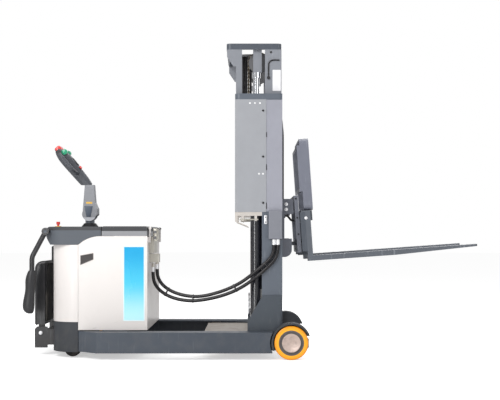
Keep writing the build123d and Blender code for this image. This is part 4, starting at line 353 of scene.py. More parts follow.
class Finish:
    """A material whose recipe is written with signals."""

    def __init__(self, name):
        print("finish", name)
        self.material = bpy.data.materials.new(name)
        self.material.use_nodes = True
        self.tree = self.material.node_tree
        self.tree.nodes.clear()
        self.skin = self.node("ShaderNodeBsdfPrincipled")
        output = self.node("ShaderNodeOutputMaterial")
        self.tree.links.new(self.skin.outputs[0], output.inputs["Surface"])
        self.place = Signal(self, self.node("ShaderNodeTexCoord").outputs["Object"], True)
        split = self.node("ShaderNodeSeparateXYZ", {}, {0: self.place})
        self.x, self.y, self.z = (Signal(self, split.outputs[i]) for i in range(3))

    def node(self, kind, settings=None, values=None):
        """Add a node: its kind, its settings, and the values or links of its sockets."""
        node = self.tree.nodes.new(kind)
        for name, setting in (settings or {}).items():
            setattr(node, name, setting)
        for key, value in (values or {}).items():
            socket = node.inputs[key]
            if isinstance(value, Signal):
                self.tree.links.new(value.socket, socket)
            elif socket.type == "RGBA" and len(value) == 3:
                socket.default_value = (*value, 1)
            else:
                socket.default_value = value
        return node

    def scaled(self, stretch):
        """The place with each axis stretched, to draw a pattern out."""
        node = self.node("ShaderNodeVectorMath", {"operation": "MULTIPLY"}, {0: self.place, 1: stretch})
        return Signal(self, node.outputs[0], True)

    def noise(self, scale, detail=3, stretch=(1, 1, 1)):
        """A cloudy value round 0.5. scale is in clouds per metre."""
        values = {"Vector": self.scaled(stretch), "Scale": scale, "Detail": detail}
        return Signal(self, self.node("ShaderNodeTexNoise", {}, values).outputs[0])

    def from_axle(self, axle):
        """The distance from an axle that runs across the stacker."""
        away_x, away_z = self.x - axle[0], self.z - axle[1]
        return (away_x * away_x + away_z * away_z) ** 0.5

    def mix(self, mask, low, high):
        """One colour where the mask is 0 and another where it is 1."""
        node = self.node("ShaderNodeMix", {"data_type": "RGBA"}, {0: mask, 6: low, 7: high})
        return Signal(self, node.outputs[2], True)

    def scale_colour(self, colour, amount):
        """A colour made lighter or darker by a signal."""
        node = self.node("ShaderNodeVectorMath", {"operation": "SCALE"}, {0: colour, "Scale": amount})
        return Signal(self, node.outputs[0], True)

    def set(self, **inputs):
        """Give the principled shader its values; an underscore stands for a space."""
        for name, value in inputs.items():
            socket = self.skin.inputs[name.replace("_", " ")]
            if isinstance(value, Signal):
                self.tree.links.new(value.socket, socket)
            elif socket.type == "RGBA":
                socket.default_value = (*value, 1)
            else:
                socket.default_value = value

    def bump(self, height, depth):
        """Raise the surface by a signal, depth metres at its full height."""
        node = self.node("ShaderNodeBump", {}, {"Height": height, "Distance": depth, "Strength": 1.0})
        self.tree.links.new(node.outputs[0], self.skin.inputs["Normal"])


def tone(red, green, blue):
    """A colour given in 0 to 255 as a screen shows it, for a shader."""
    def linear(value):
        value /= 255
        return value / 12.92 if value <= 0.04045 else ((value + 0.055) / 1.055) ** 2.4
    return tuple(linear(value) for value in (red, green, blue))


print("shader helpers ready")

# %% [markdown]
# ## Painted steel
#
# The mast, the legs and the forks are welded steel under a thick layer of
# powder paint. Such paint isn't a flat colour: it is a little thinner here
# and thicker there, its surface has the fine waves known as orange peel,
# dust greys it near the floor, and the rub of pallets leaves faint streaks.
# One function makes them all, because they differ only in colour and in how
# worn they are.

# %% Painted steel
FLOOR_DUST = tone(150, 143, 132)


def painted(name, colour, rough=0.42, worn=0.3, grain=900, dust_top=0.5, other=None, between=None):
    """Powder paint with slow shade, orange peel, dust low down and long rubs.

    Where another colour is given, it covers what lies between two heights.
    """
    f = Finish(name)
    slow = f.noise(3.5)
    patch = f.noise(22, 4)
    peel = f.noise(grain, 2)
    rubs = f.noise(60, 3, (1, 1, 0.12)).above(0.60, 0.72) * worn
    dust = (1 - f.z.above(0.02, dust_top)) * f.noise(14, 5).above(0.42, 0.75)
    shade = 0.88 + 0.16 * slow + 0.08 * patch
    if other:
        colour = f.mix(f.z.band(*between, 0.002), colour, other)
    base = f.scale_colour(f.mix(rubs * 0.35, colour, tone(168, 172, 178)), shade)
    base = f.mix(dust * 0.07, base, FLOOR_DUST)
    f.set(Base_Color=base, Roughness=(rough + 0.16 * patch - 0.08 + 0.25 * dust + 0.1 * rubs).clipped())
    f.set(Coat_Weight=0.12, Coat_Roughness=0.25)
    f.bump(peel + 0.4 * patch, 0.00012)
    return f.material


# Heights between which a part is paler than above and below. On both masts that paler band is a painted
# reflection.
RAIL_REFLECTION = (1.002, 1.770)
PALE_STEP = (0.149, 0.167)
HEAD_REFLECTION = (1.70, 2.124)

# The outer mast is painted paler between its two heights: a painted reflection.
mast_paint = painted("mast_paint", tone(88, 95, 105), other=tone(148, 149, 159), between=RAIL_REFLECTION)
leg_paint = painted("leg_paint", tone(60, 67, 77), worn=0.15)
carriage_paint = painted("carriage_paint", tone(64, 71, 79), worn=0.15, other=tone(130, 121, 112),
                         between=PALE_STEP)
carrier_paint = painted("carrier_paint", tone(104, 107, 117), worn=0.2)
# The inner mast head is painted paler between its two heights: a painted reflection.
mast_dark = painted("mast_dark", tone(72, 78, 87), other=tone(128, 131, 138), between=HEAD_REFLECTION)
guard_grey = painted("guard_grey", tone(150, 152, 157), rough=0.5, worn=0.15)
fork_grey = painted("fork_grey", tone(88, 93, 101), worn=0.8)
backrest_grey = painted("backrest_grey", tone(112, 115, 127), worn=0.4)
bracket_cream = painted("bracket_cream", tone(190, 184, 178), worn=0.2)
black_paint = painted("black_paint", tone(30, 30, 33), rough=0.34, worn=0.2)

# %% [markdown]
# The lift cylinders are painted too, but in a glossy black that mirrors the
# lamps as a thin upright streak. A clear coat over a dark base does that.
# Oil that seeps past the seals leaves long drips, a shade smoother.

# %% Glossy black for the lift cylinders
def glossy_black(name):
    """Deep black under a clear coat, with faint drips down the barrel."""
    f = Finish(name)
    drips = f.noise(38, 3, (1, 1, 0.06)).above(0.52, 0.70)
    slow = f.noise(5)
    base = f.mix(drips * 0.3, tone(24, 25, 32), tone(44, 46, 54))
    f.set(Base_Color=f.scale_colour(base, 0.85 + 0.3 * slow))
    f.set(Roughness=(0.20 - 0.06 * drips + 0.08 * slow).clipped(), Coat_Weight=0.9, Coat_Roughness=0.06)
    f.bump(f.noise(700, 2), 0.00005)
    return f.material


gloss_black = glossy_black("gloss_black")

# %% [markdown]
# ## Body panels and dark covers
#
# The tractor end wears big off-white sheet panels. Real ones are nearly
# clean, so their detail is quiet: smudges where hands and knees touch, and
# scuffs along the bottom edge where pallets scrape. A painted shade takes
# them slowly from bright at the top to a warmer grey near the floor.

# %% Off-white panels
def body_white(name, colour, shade_colour, bottom, top):
    """Light paint with a painted shade that makes it warmer and greyer towards the floor."""
    f = Finish(name)
    # Painted shade: bright at the top, falling to the shaded colour near the floor.
    height = f.z.above(bottom, top)
    slow = f.noise(2.2)
    smudge = f.noise(9, 4).above(0.56, 0.78)
    scuff = f.noise(46, 4, (0.25, 0.25, 1)).above(0.60, 0.74) * (1 - f.z.above(bottom, bottom + 0.10))
    base = f.scale_colour(f.mix(height, shade_colour, colour), 0.95 + 0.07 * slow - 0.03 * smudge)
    base = f.mix(scuff * 0.5, base, tone(150, 145, 140))
    f.set(Base_Color=base, Roughness=(0.34 + 0.12 * smudge + 0.2 * scuff + 0.06 * slow).clipped())
    f.set(Coat_Weight=0.2, Coat_Roughness=0.2)
    f.bump(f.noise(800, 2) + 2 * slow, 0.00008)
    return f.material


PANEL_FOOT, PANEL_TOP = 0.19, 0.83
# The second colour is the painted shade near the floor.
light_paint = body_white("light_paint", tone(226, 221, 218), tone(211, 206, 203), PANEL_FOOT, PANEL_TOP)

# %% [markdown]
# The cowl, the lid and the skirt are moulded plastic. A mould is etched, so
# the plastic comes out with a fine leathery grain that scatters light, and
# edges where hands slide are polished by use. On this stacker the covers
# are two-tone: a paler band runs round below the dark top. On the lid that
# band is grey paint lightened further by a painted reflection.

# %% Moulded plastic
def moulded(name, colour, band_colour=None, band=(0, 1), grain=420, rough=0.55):
    """Grained plastic, with a band of another shade between two heights."""
    f = Finish(name)
    slow = f.noise(4)
    pebble = f.noise(grain, 3)
    rub = f.noise(12, 4).above(0.55, 0.75)
    base = colour
    if band_colour:
        base = f.mix(f.z.band(*band, 0.0015), colour, band_colour)
    else:
        base = f.mix(rub * 0.25, colour, tuple(min(1, 1.5 * c) for c in colour))
    dust = (1 - f.z.above(0.03, 0.40)) * f.noise(17, 5).above(0.40, 0.72)
    base = f.mix(dust * 0.08, f.scale_colour(base, 0.90 + 0.14 * slow + 0.06 * pebble), FLOOR_DUST)
    f.set(Base_Color=base, Roughness=(rough + 0.14 * pebble - 0.12 * rub + 0.15 * dust).clipped())
    f.bump(pebble, 0.00012)
    return f.material


# Heights of the paler bands, and the shades of the covers; the lid's paler shade holds a painted reflection
COWL_BAND = (0.60, 0.873)
LID_BAND = (0.60, 0.868)
ARM_BAND = (0.90, 0.968)
COWL_DARK = tone(54, 55, 58)
COWL_LIGHT = tone(82, 87, 94)
# The lid's paler band: grey paint with a painted reflection in it.
LID_GREY_AND_REFLECTION = tone(138, 139, 142)
cowl_plastic = moulded("cowl_plastic", COWL_DARK, COWL_LIGHT, COWL_BAND)
lid_plastic = moulded("lid_plastic", COWL_DARK, LID_GREY_AND_REFLECTION, LID_BAND)
skirt_plastic = moulded("skirt_plastic", tone(46, 49, 54))
grip_plastic = moulded("grip_plastic", tone(32, 32, 35), grain=600, rough=0.4)
head_plastic = moulded("head_plastic", tone(70, 73, 79), grain=700, rough=0.42)
arm_plastic = moulded("arm_plastic", tone(132, 134, 139), tone(176, 178, 184), ARM_BAND,
                      grain=700, rough=0.45)
box_plastic = moulded("box_plastic", tone(122, 124, 132), grain=500)

# %% [markdown]
# ## Rubber, hoses and tyres
#
# Rubber hardly shines, and dust sits in it. The hose rubber also shows the
# fine wrap of the cloth that it was cured in. The wrap is so close that a
# fine noise reads the same from a step away.

# %% Rubber
def rubber(name, colour, dusty=0.3, ridges=0.0, rough=0.62):
    """Matt rubber with dust, and ridges along X for a tread mat."""
    f = Finish(name)
    cloud = f.noise(11, 5)
    fine = f.noise(520, 3)
    dust = cloud.above(0.46, 0.74) * dusty
    f.set(Base_Color=f.mix(dust, f.scale_colour(colour, 0.82 + 0.3 * cloud), tone(120, 115, 108)))
    f.set(Roughness=(rough + 0.2 * fine + 0.2 * dust - 0.1).clipped(), Specular_IOR_Level=0.35)
    height = fine
    if ridges:
        values = {"Vector": f.place, "Scale": ridges}
        settings = {"wave_type": "BANDS", "bands_direction": "Y", "wave_profile": "TRI"}
        height = Signal(f, f.node("ShaderNodeTexWave", settings, values).outputs[1]) * 4 + fine
    f.bump(height, 0.0004)
    return f.material


black_rubber = rubber("black_rubber", tone(40, 40, 42))
mat_rubber = rubber("mat_rubber", tone(38, 38, 40), dusty=0.45, ridges=42)
hose_rubber = rubber("hose_rubber", tone(27, 25, 28), dusty=0.05, rough=0.30)

# %% [markdown]
# The load wheels roll on golden polyurethane. It is cast round the hub, so
# it shows thin rings from the mould and is a little see-through, which
# deepens its colour at the rim. The tread picks up grey dirt. All of this
# depends on the distance from the axle, and each wheel gets that distance
# from its own place.

# %% Cast polyurethane
def polyurethane(name, colour, deep, axle, rim):
    """Golden tyre, deeper towards the rim, with mould rings round its axle."""
    f = Finish(name)
    radius = f.from_axle(axle)
    cloud = f.noise(5)
    wave = (radius * 2600).sine()
    tread = radius.above(rim - 0.004, rim - 0.0008)
    dirt = tread * f.noise(60, 4).above(0.40, 0.66)
    slow = f.noise(9)
    base = f.mix(radius.above(rim * 0.76, rim), colour, deep)
    base = f.scale_colour(f.mix(dirt * 0.45, base, tone(128, 112, 84)), 0.93 + 0.12 * slow + 0.02 * cloud)
    f.set(Base_Color=base, Roughness=(0.28 + 0.12 * slow + 0.25 * dirt).clipped())
    f.set(Coat_Weight=0.25, Coat_Roughness=0.2)
    f.bump(wave * 0.3 + f.noise(240, 2), 0.00012)
    return f.material


WHEEL_RADIUS = 0.115
LOAD_AXLE = (0.268, WHEEL_RADIUS)
DRIVE_AXLE = (-1.173, WHEEL_RADIUS)
golden_tyre = polyurethane("golden_tyre", tone(253, 176, 22), tone(240, 150, 8), LOAD_AXLE, WHEEL_RADIUS)
drive_tyre = polyurethane("drive_tyre_finish", tone(214, 150, 60), tone(176, 118, 44), DRIVE_AXLE,
                          WHEEL_RADIUS)
caster_tyre = rubber("caster_tyre", tone(32, 32, 33), dusty=0.35)

# %% [markdown]
# ## Bare metal
#
# Bare metals come last. Hub rings are cast and painted, their caps are turned
# on a lathe, which leaves fine circles that fan the light. Chromed rods are
# nearly a mirror with a film of oil. Zinc-plated fittings are yellowish and
# blotchy, or nearly white when new. Chains are oiled steel whose plates
# alternate, and since a chain has far too many plates to model one by one,
# its finish draws them.

# %% Metals
def metal(name, colour, rough=0.3, blotch=0.2, brushed=(1, 1, 1), depth=0.0001):
    """Bare or plated metal with blotches and a brushed direction."""
    f = Finish(name)
    cloud = f.noise(16, 5)
    lines = f.noise(420, 3, brushed)
    stain = cloud.above(0.50, 0.72) * blotch
    dark = tuple(0.55 * c for c in colour)
    f.set(Base_Color=f.mix(stain, f.scale_colour(f.mix(lines * 0.2, colour, dark), 0.9 + 0.2 * cloud), dark))
    f.set(Metallic=1.0, Roughness=(rough + 0.15 * lines + 0.2 * stain - 0.05).clipped())
    f.bump(lines, depth)
    return f.material


chrome_rod = metal("chrome_rod", tone(214, 216, 220), rough=0.10, blotch=0.1, brushed=(1, 1, 0.05),
                   depth=0.00003)
zinc_plate = metal("zinc_plate", tone(206, 202, 192), rough=0.32)
white_zinc = metal("white_zinc", tone(244, 244, 246), rough=0.48, blotch=0.15)
plain_steel = metal("plain_steel", tone(128, 128, 130), rough=0.42, blotch=0.4)
cast_hub = painted("cast_hub", tone(92, 88, 88), rough=0.5, worn=0.4, grain=500)


def turned_cap(name, colour, axle):
    """A lathe-turned face: fine circles round the axle, rubbed and stained."""
    f = Finish(name)
    radius = f.from_axle(axle)
    circles = (radius * 5200).sine()
    cloud = f.noise(28, 5)
    stain = cloud.above(0.46, 0.70)
    base = f.mix(stain * 0.5, colour, tuple(0.6 * c for c in colour))
    f.set(Base_Color=f.scale_colour(base, 0.9 + 0.06 * circles + 0.1 * cloud), Metallic=0.55)
    f.set(Roughness=(0.40 + 0.08 * circles + 0.2 * stain).clipped())
    f.bump(circles, 0.00008)
    return f.material


hub_cap_metal = turned_cap("hub_cap_metal", tone(206, 186, 176), LOAD_AXLE)


def chain_steel(name, pitch):
    """Oiled plates and rollers of a leaf chain, drawn along its length."""
    f = Finish(name)
    turn = (f.z * (2 * math.pi / pitch)).sine()
    plate = turn.above(-0.2, 0.2)
    waist = (turn * turn).above(0.0, 0.25)
    grime = f.noise(70, 4)
    base = f.mix(plate, tone(84, 76, 66), tone(134, 124, 110))
    f.set(Base_Color=f.scale_colour(base, 0.45 + 0.5 * waist + 0.2 * grime))
    f.set(Metallic=0.8, Roughness=(0.34 + 0.3 * grime - 0.1 * plate).clipped())
    f.bump(plate * 0.6 + waist, 0.0015)
    return f.material


chain_metal = chain_steel("chain_metal", 0.0254)

# %% [markdown]
# ## Bright plastic and the battery case
#
# The emergency button is bright red and smooth so that a hand finds it, and
# the rockers and stickers of the tiller are green and yellow.
# Under the lid stands the battery, a plain steel trough in dark paint.

# %% Buttons and battery
def bright_plastic(name, colour, rough=0.3):
    """A smooth moulded knob, worn a little paler where thumbs press it."""
    f = Finish(name)
    thumb = f.noise(60, 4).above(0.48, 0.70)
    pale = tuple(min(1, 1.25 * c + 0.02) for c in colour)
    f.set(Base_Color=f.scale_colour(f.mix(thumb * 0.4, colour, pale), 0.92 + 0.12 * f.noise(25)))
    f.set(Roughness=(rough + 0.18 * thumb).clipped(), Coat_Weight=0.3, Coat_Roughness=0.15)
    f.bump(f.noise(500, 2), 0.0001)
    return f.material


red_plastic = bright_plastic("red_plastic", tone(214, 48, 40))
green_plastic = bright_plastic("green_plastic", tone(40, 160, 118))
yellow_plastic = bright_plastic("yellow_plastic", tone(230, 180, 52))
battery_case = painted("battery_case", tone(52, 58, 66), rough=0.5)

# %% [markdown]
# ## Dressing the CAD parts
#
# Each CAD part gets the finish of the real one. Their meshes stay as they
# are, so a part can only carry a material, and the patterns find their
# place from the part's own coordinates.

# %% Finish for each CAD part
DRESS = {
    leg_paint: ["legs", "rear_frame", "caster_fork_right", "caster_fork_left"],
    carriage_paint: ["reach_carriage"],
    bracket_cream: ["mast_bracket"],
    mast_paint: ["outer_mast", "drive_unit"],
    carrier_paint: ["lift_carriage", "tilt_frame"],
    mast_dark: ["inner_mast", "fork_carriage"],
    guard_grey: ["mast_guards"],
    fork_grey: ["forks"],
    backrest_grey: ["backrest"],
    black_paint: ["platform_bracket", "guard_arm_right", "guard_arm_left", "platform", "reach_cylinder"],
    gloss_black: ["lift_cylinders"],
    light_paint: ["side_panels", "rear_cover", "front_panel"],
    cowl_plastic: ["cowl"],
    lid_plastic: ["battery_lid"],
    skirt_plastic: ["skirt", "fenders"],
    box_plastic: ["hose_box"],
    grip_plastic: ["guard_grip_right", "guard_grip_left", "knee_pad", "tiller_controls"],
    head_plastic: ["tiller_head"],
    arm_plastic: ["tiller_arm"],
    black_rubber: ["tiller_boot", "mast_hoses", "carriage_hoses"],
    mat_rubber: ["platform_mat"],
    golden_tyre: ["load_tyre_right", "load_tyre_left"],
    drive_tyre: ["drive_tyre"],
    caster_tyre: ["caster_wheel_right", "caster_wheel_left"],
    cast_hub: ["load_hub_right", "load_hub_left", "drive_hub"],
    zinc_plate: ["hose_fittings"],
    chrome_rod: ["reach_rod", "lift_rods", "tilt_rod"],
    plain_steel: ["chain_sheaves"],
    chain_metal: ["lift_chains_rear", "lift_chains_front", "chain_wraps"],
    red_plastic: ["emergency_stop"],
    battery_case: ["battery_block"],
}


def dress(piece, material):
    """Give a piece one material in place of all that it has."""
    piece.data.materials.clear()
    piece.data.materials.append(material)


for material, names in DRESS.items():
    for name in names:
        dress(nodes[name], material)
for piece in hoses:
    dress(piece, hose_rubber)
dressed = {name for names in DRESS.values() for name in names}
print("still bare:", sorted(set(nodes) - dressed))

# %% [markdown]
# ## The workbench
#
# The small pieces are modelled as by hand: we add a primitive at its size
# and place, go into edit mode, pick faces or edges, and shape them with
# inset, extrude and bevel. Some helpers save typing. Two of them add a
# block or a round bar with its place already in its mesh, so that a face
# can be found by where it is. Another goes into edit mode and selects what
# passes a test on its middle and its direction, and the rest do to that
# selection what we would do by hand.

# %% Helpers for adding and picking
def named(name):
    """Name the piece just added, put its place into its mesh and return it."""
    bpy.ops.object.transform_apply(location=True, rotation=True, scale=True)
    piece = bpy.context.object
    piece.name = name
    piece.data.name = name
    return piece


def block(name, low, high):
    """A block between two corners."""
    bpy.ops.object.select_all(action="DESELECT")
    middle = [(a + b) / 2 for a, b in zip(low, high)]
    bpy.ops.mesh.primitive_cube_add(size=1, location=middle, scale=[b - a for a, b in zip(low, high)])
    return named(name)


TURNS = {"X": (0, math.pi / 2, 0), "Y": (math.pi / 2, 0, 0), "Z": (0, 0, 0)}


def bar(name, middle, axis, radius, length, sides=32):
    """A round or many-sided bar along one axis."""
    bpy.ops.object.select_all(action="DESELECT")
    bpy.ops.mesh.primitive_cylinder_add(
        vertices=sides, radius=radius, depth=length, location=middle, rotation=TURNS[axis])
    return named(name)


def pick(piece, test, kind="FACE"):
    """Go into edit mode and select the faces or edges whose place and direction pass a test."""
    only(piece)
    bpy.ops.object.mode_set(mode="EDIT")
    bpy.ops.mesh.select_mode(type=kind)
    bpy.ops.mesh.select_all(action="DESELECT")
    mesh = bmesh.from_edit_mesh(piece.data)
    if kind == "FACE":
        for face in mesh.faces:
            face.select_set(test(face.calc_center_median(), face.normal))
    else:
        for edge in mesh.edges:
            a, b = (vertex.co for vertex in edge.verts)
            edge.select_set(test((a + b) / 2, (b - a).normalized()))
    mesh.select_flush_mode()
    bmesh.update_edit_mesh(piece.data)


def facing(direction, least=0.9):
    """A test for faces that look in one direction."""
    direction = Vector(direction).normalized()
    return lambda place, normal: normal.dot(direction) > least


near_side = facing((0, -1, 0))


def aligned(axis):
    """A test for edges along one axis (0 for X, 1 for Y, 2 for Z), or faces square to it."""
    return lambda place, direction: abs(direction[axis]) > 0.9


def round_edges(piece, test, width, steps):
    """Bevel the edges that pass a test."""
    pick(piece, test, "EDGE")
    bpy.ops.mesh.bevel(offset=width, segments=steps, affect="EDGES")
    bpy.ops.object.mode_set(mode="OBJECT")


def bevel_all(piece, width, steps=2):
    """Round every edge of a piece."""
    round_edges(piece, lambda place, direction: True, width, steps)


def inset_faces(piece, test, *rings):
    """Inset the faces that pass a test, once for each ring: its width and its depth."""
    pick(piece, test)
    for width, depth in rings:
        bpy.ops.mesh.inset(thickness=width, depth=depth)
    bpy.ops.object.mode_set(mode="OBJECT")


def on_axis(centre, axis, value):
    """A point or a set of scales with its value along one axis put in."""
    return [value if number == axis else other for number, other in enumerate(centre)]


def slice_bar(piece, centre, axis, cuts):
    """Cut a bar across its axis, which leaves a ring of edges at each cut."""
    for cut in cuts:
        pick(piece, lambda place, normal: True)
        bpy.ops.mesh.bisect(plane_co=on_axis(centre, axis, cut), plane_no=on_axis((0, 0, 0), axis, 1))
        bpy.ops.object.mode_set(mode="OBJECT")


def swell(piece, centre, axis, cuts, share):
    """Grow or shrink the rings of edges at some of the cuts."""
    for cut in cuts:
        pick(piece, lambda place, direction: abs(place[axis] - cut) < 1e-4
             and abs(direction[axis]) < 0.1, "EDGE")
        scales = on_axis((share, share, share), axis, 1)
        bpy.ops.transform.resize(value=scales, center_override=on_axis(centre, axis, cut))
        bpy.ops.object.mode_set(mode="OBJECT")


def joined(piece, *others):
    """Join other pieces into one piece."""
    only(piece)
    for other in others:
        other.select_set(True)
    bpy.ops.object.join()
    return piece


print("modelling helpers ready")

# %% [markdown]
# More helpers finish a piece. One gives it its material and lets it ride on
# the body that carries it. The others make copies, each with its own mesh:
# moved along, in a row, or mirrored to the far side. A mirror turns a mesh
# inside out, so its faces are flipped back.

# %% Helpers for finishing and copying
def fit(piece, body, material, angle=35):
    """Smooth shading, a material, and the body that the piece rides on."""
    only(piece)
    bpy.ops.object.shade_smooth_by_angle(angle=math.radians(angle))
    if not piece.data.materials:
        piece.data.materials.append(material)
    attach(piece, body)
    return piece


def twin(piece, name):
    """A copy with its own mesh, not yet on any body."""
    other = piece.copy()
    other.data = piece.data.copy()
    other.name = name
    other.data.name = name
    bpy.context.collection.objects.link(other)
    return other


def moved(piece, name, step):
    """A copy moved by a step."""
    other = twin(piece, name)
    other.data.transform(Matrix.Translation(step))
    return other


def row(first, stem, steps, ending=""):
    """A piece and its moved copies, numbered from 2."""
    return [first] + [moved(first, f"{stem}_{number}{ending}", step) for number, step in enumerate(steps, 2)]


def mirrored(piece, name):
    """A copy on the other side of the truck."""
    other = twin(piece, name)
    other.data.transform(Matrix.Scale(-1, 4, (0, 1, 0)))
    other.data.flip_normals()
    return other


def both_sides(piece, name, body, material):
    """Fit a piece on the right and its mirror image on the left."""
    other = mirrored(piece, name + "_left")
    fit(piece, body, material)
    fit(other, body, material)


def two_tone(piece, border, field):
    """One material for a piece and another for the faces that were picked last."""
    piece.data.materials.append(border)
    piece.data.materials.append(field)
    for face in piece.data.polygons:
        face.material_index = int(face.select)


print("finishing helpers ready")

# %% [markdown]
# ## Caps on the load wheels
#
# A turned metal cap closes each load wheel. It could be a disc, but a real
# cap has a rolled rim and a shallow dish. We start from a short bar, inset
# its outer face and push the middle in, and round the rim.

# %% Load wheel caps
CAP_RADIUS = 0.063
CAP_INNER_Y = -0.543
CAP_OUTER_Y = -0.5465

cap = bar("load_wheel_cap_right", (LOAD_AXLE[0], (CAP_INNER_Y + CAP_OUTER_Y) / 2, LOAD_AXLE[1]), "Y",
          CAP_RADIUS, CAP_INNER_Y - CAP_OUTER_Y, 64)
inset_faces(cap, near_side, (0.005, 0), (0.002, -0.0012), (0.030, 0), (0.002, -0.0006))
round_edges(cap, lambda place, direction: place.y < CAP_OUTER_Y + 1e-5
            and math.hypot(place.x - LOAD_AXLE[0], place.z - LOAD_AXLE[1]) > CAP_RADIUS - 0.001, 0.0015, 3)
cap_left = mirrored(cap, "load_wheel_cap_left")
fit(cap, "load_wheel_right", hub_cap_metal)
fit(cap_left, "load_wheel_left", hub_cap_metal)
print(cap.name, len(cap.data.polygons), "faces")

# %% [markdown]
# ## Screws, plugs and clips on the guard sheets
#
# Each guard sheet is held by three button-head screws. A screw is a short
# bar whose head is rounded, with a hexagon socket. We model one, copy it up
# the sheet, and mirror the row. Above and below them the sheet has pale
# plastic plugs, and its front edge has three black rubber clips.

# %% Guard screws
GUARD_FACE_Y = -0.398
SCREW_X = 0.080
SCREW_ZS = (1.695, 1.379, 1.062)
SCREW_RADIUS = 0.0075
SCREW_HEAD = 0.004


def button_screw(name, x, y, z, radius, head, sides=24):
    """A button-head screw that looks towards the camera, with a hexagon socket."""
    screw = bar(name, (x, y - head / 2, z), "Y", radius, head, sides)
    pick(screw, near_side)
    bpy.ops.mesh.inset(thickness=radius * 0.35, depth=head * 0.25)
    bpy.ops.mesh.inset(thickness=radius * 0.15)
    bpy.ops.mesh.extrude_region_shrink_fatten(TRANSFORM_OT_shrink_fatten={"value": -head * 0.7})
    bpy.ops.object.mode_set(mode="OBJECT")
    round_edges(screw, lambda place, direction: place.y < y - head * 0.9
                and math.hypot(place.x - x, place.z - z) > radius * 0.9, head * 0.3, 2)
    return screw


first = button_screw("guard_screw_1_right", SCREW_X, GUARD_FACE_Y, SCREW_ZS[0], SCREW_RADIUS, SCREW_HEAD)
screws = row(first, "guard_screw", [(0, 0, z - SCREW_ZS[0]) for z in SCREW_ZS[1:]], "_right")
for number, screw in enumerate(screws, 1):
    both_sides(screw, f"guard_screw_{number}", "reach", black_paint)
print(2 * len(screws), "guard screws")

# %% Guard plugs
PLUG_PLACES = ((-0.010, 1.746), (0.024, 1.746), (0.059, 1.746), (0.052, 1.261), (0.079, 1.261))
PLUG_RADIUS = 0.0062
PLUG_HEAD = 0.0018

white_plastic = bright_plastic("white_plastic", tone(236, 236, 236), rough=0.4)
plug_x, plug_z = PLUG_PLACES[0]
plug_middle = (plug_x, GUARD_FACE_Y - PLUG_HEAD / 2, plug_z)
plug = bar("guard_plug_1_right", plug_middle, "Y", PLUG_RADIUS, PLUG_HEAD, 20)
inset_faces(plug, near_side, (PLUG_RADIUS * 0.4, PLUG_HEAD * 0.4))
plugs = row(plug, "guard_plug", [(x - plug_x, 0, z - plug_z) for x, z in PLUG_PLACES[1:]], "_right")
for number, piece in enumerate(plugs, 1):
    both_sides(piece, f"guard_plug_{number}", "reach", white_plastic)
print(2 * len(plugs), "guard plugs")

# %% Guard clips
CLIP_X = 0.1025
# Each clip: the height of its middle, and its length
CLIPS = ((1.530, 0.034), (1.307, 0.040), (1.041, 0.044))
CLIP_WIDTH = 0.0045

for number, (z, height) in enumerate(CLIPS, 1):
    low = (CLIP_X - CLIP_WIDTH / 2, GUARD_FACE_Y - 0.002, z - height / 2)
    high = (CLIP_X + CLIP_WIDTH / 2, GUARD_FACE_Y + 0.001, z + height / 2)
    clip = block(f"guard_clip_{number}_right", low, high)
    bevel_all(clip, 0.0007)
    both_sides(clip, f"guard_clip_{number}", "reach", black_rubber)
print(2 * len(CLIPS), "guard clips")

# %% [markdown]
# ## Stickers and the badge
#
# On the right panel sits a tall blank sticker, deep blue at the top and
# pale at the foot, with a thin light margin. It is a film with rounded
# corners: a flat block whose upright edges are bevelled, and whose face is
# inset once, so that the margin and the field carry two materials.

# %% Blue sticker
STICKER_LOW = (-0.875, -0.4326, 0.254)
STICKER_HIGH = (-0.729, -0.4320, 0.765)
STICKER_MARGIN = 0.006


def printed_film(name, colours, low, high):
    """A printed film whose colour runs from foot to top, with fine print grain."""
    f = Finish(name)
    rise = (f.z - low) / (high - low)
    base = f.mix(rise.above(0.0, 0.55), colours[0], colours[1])
    base = f.mix(rise.above(0.45, 0.95), base, colours[2])
    fleck = f.noise(900, 2)
    wipe = f.noise(8, 4, (1, 1, 0.3)).above(0.55, 0.75)
    f.set(Base_Color=f.scale_colour(base, 0.97 + 0.05 * fleck), Roughness=(0.26 + 0.14 * wipe).clipped())
    f.set(Coat_Weight=0.5, Coat_Roughness=0.1)
    f.bump(fleck, 0.00003)
    return f.material


sticker_blue = printed_film("sticker_blue", (tone(176, 230, 240), tone(64, 192, 226), tone(0, 160, 212)),
                            STICKER_LOW[2], STICKER_HIGH[2])
sticker_margin = printed_film("sticker_margin", (tone(214, 232, 238),) * 3, STICKER_LOW[2], STICKER_HIGH[2])

sticker = block("side_sticker", STICKER_LOW, STICKER_HIGH)
round_edges(sticker, aligned(1), 0.006, 5)
inset_faces(sticker, near_side, (STICKER_MARGIN, 0))
two_tone(sticker, sticker_margin, sticker_blue)
fit(sticker, "chassis", sticker_margin)
print("sticker", [round(1000 * (b - a)) for a, b in zip(STICKER_LOW, STICKER_HIGH)], "mm")

# %% [markdown]
# The badge near the top of the panel is a dark plate shaped like a leaning
# flag: its right side is shorter and its edges slope. A block becomes that
# shape when we move the corners of each end, and an inset with a little
# depth leaves a raised rim round the blank field.

# %% Badge
# Where each corner of the block goes: its x and z
BADGE_CORNERS = {
    (-1, -1): (-1.168, 0.636), (-1, 1): (-1.168, 0.701),
    (1, -1): (-1.079, 0.674), (1, 1): (-1.079, 0.718),
}
BADGE_FACE_Y = -0.4350

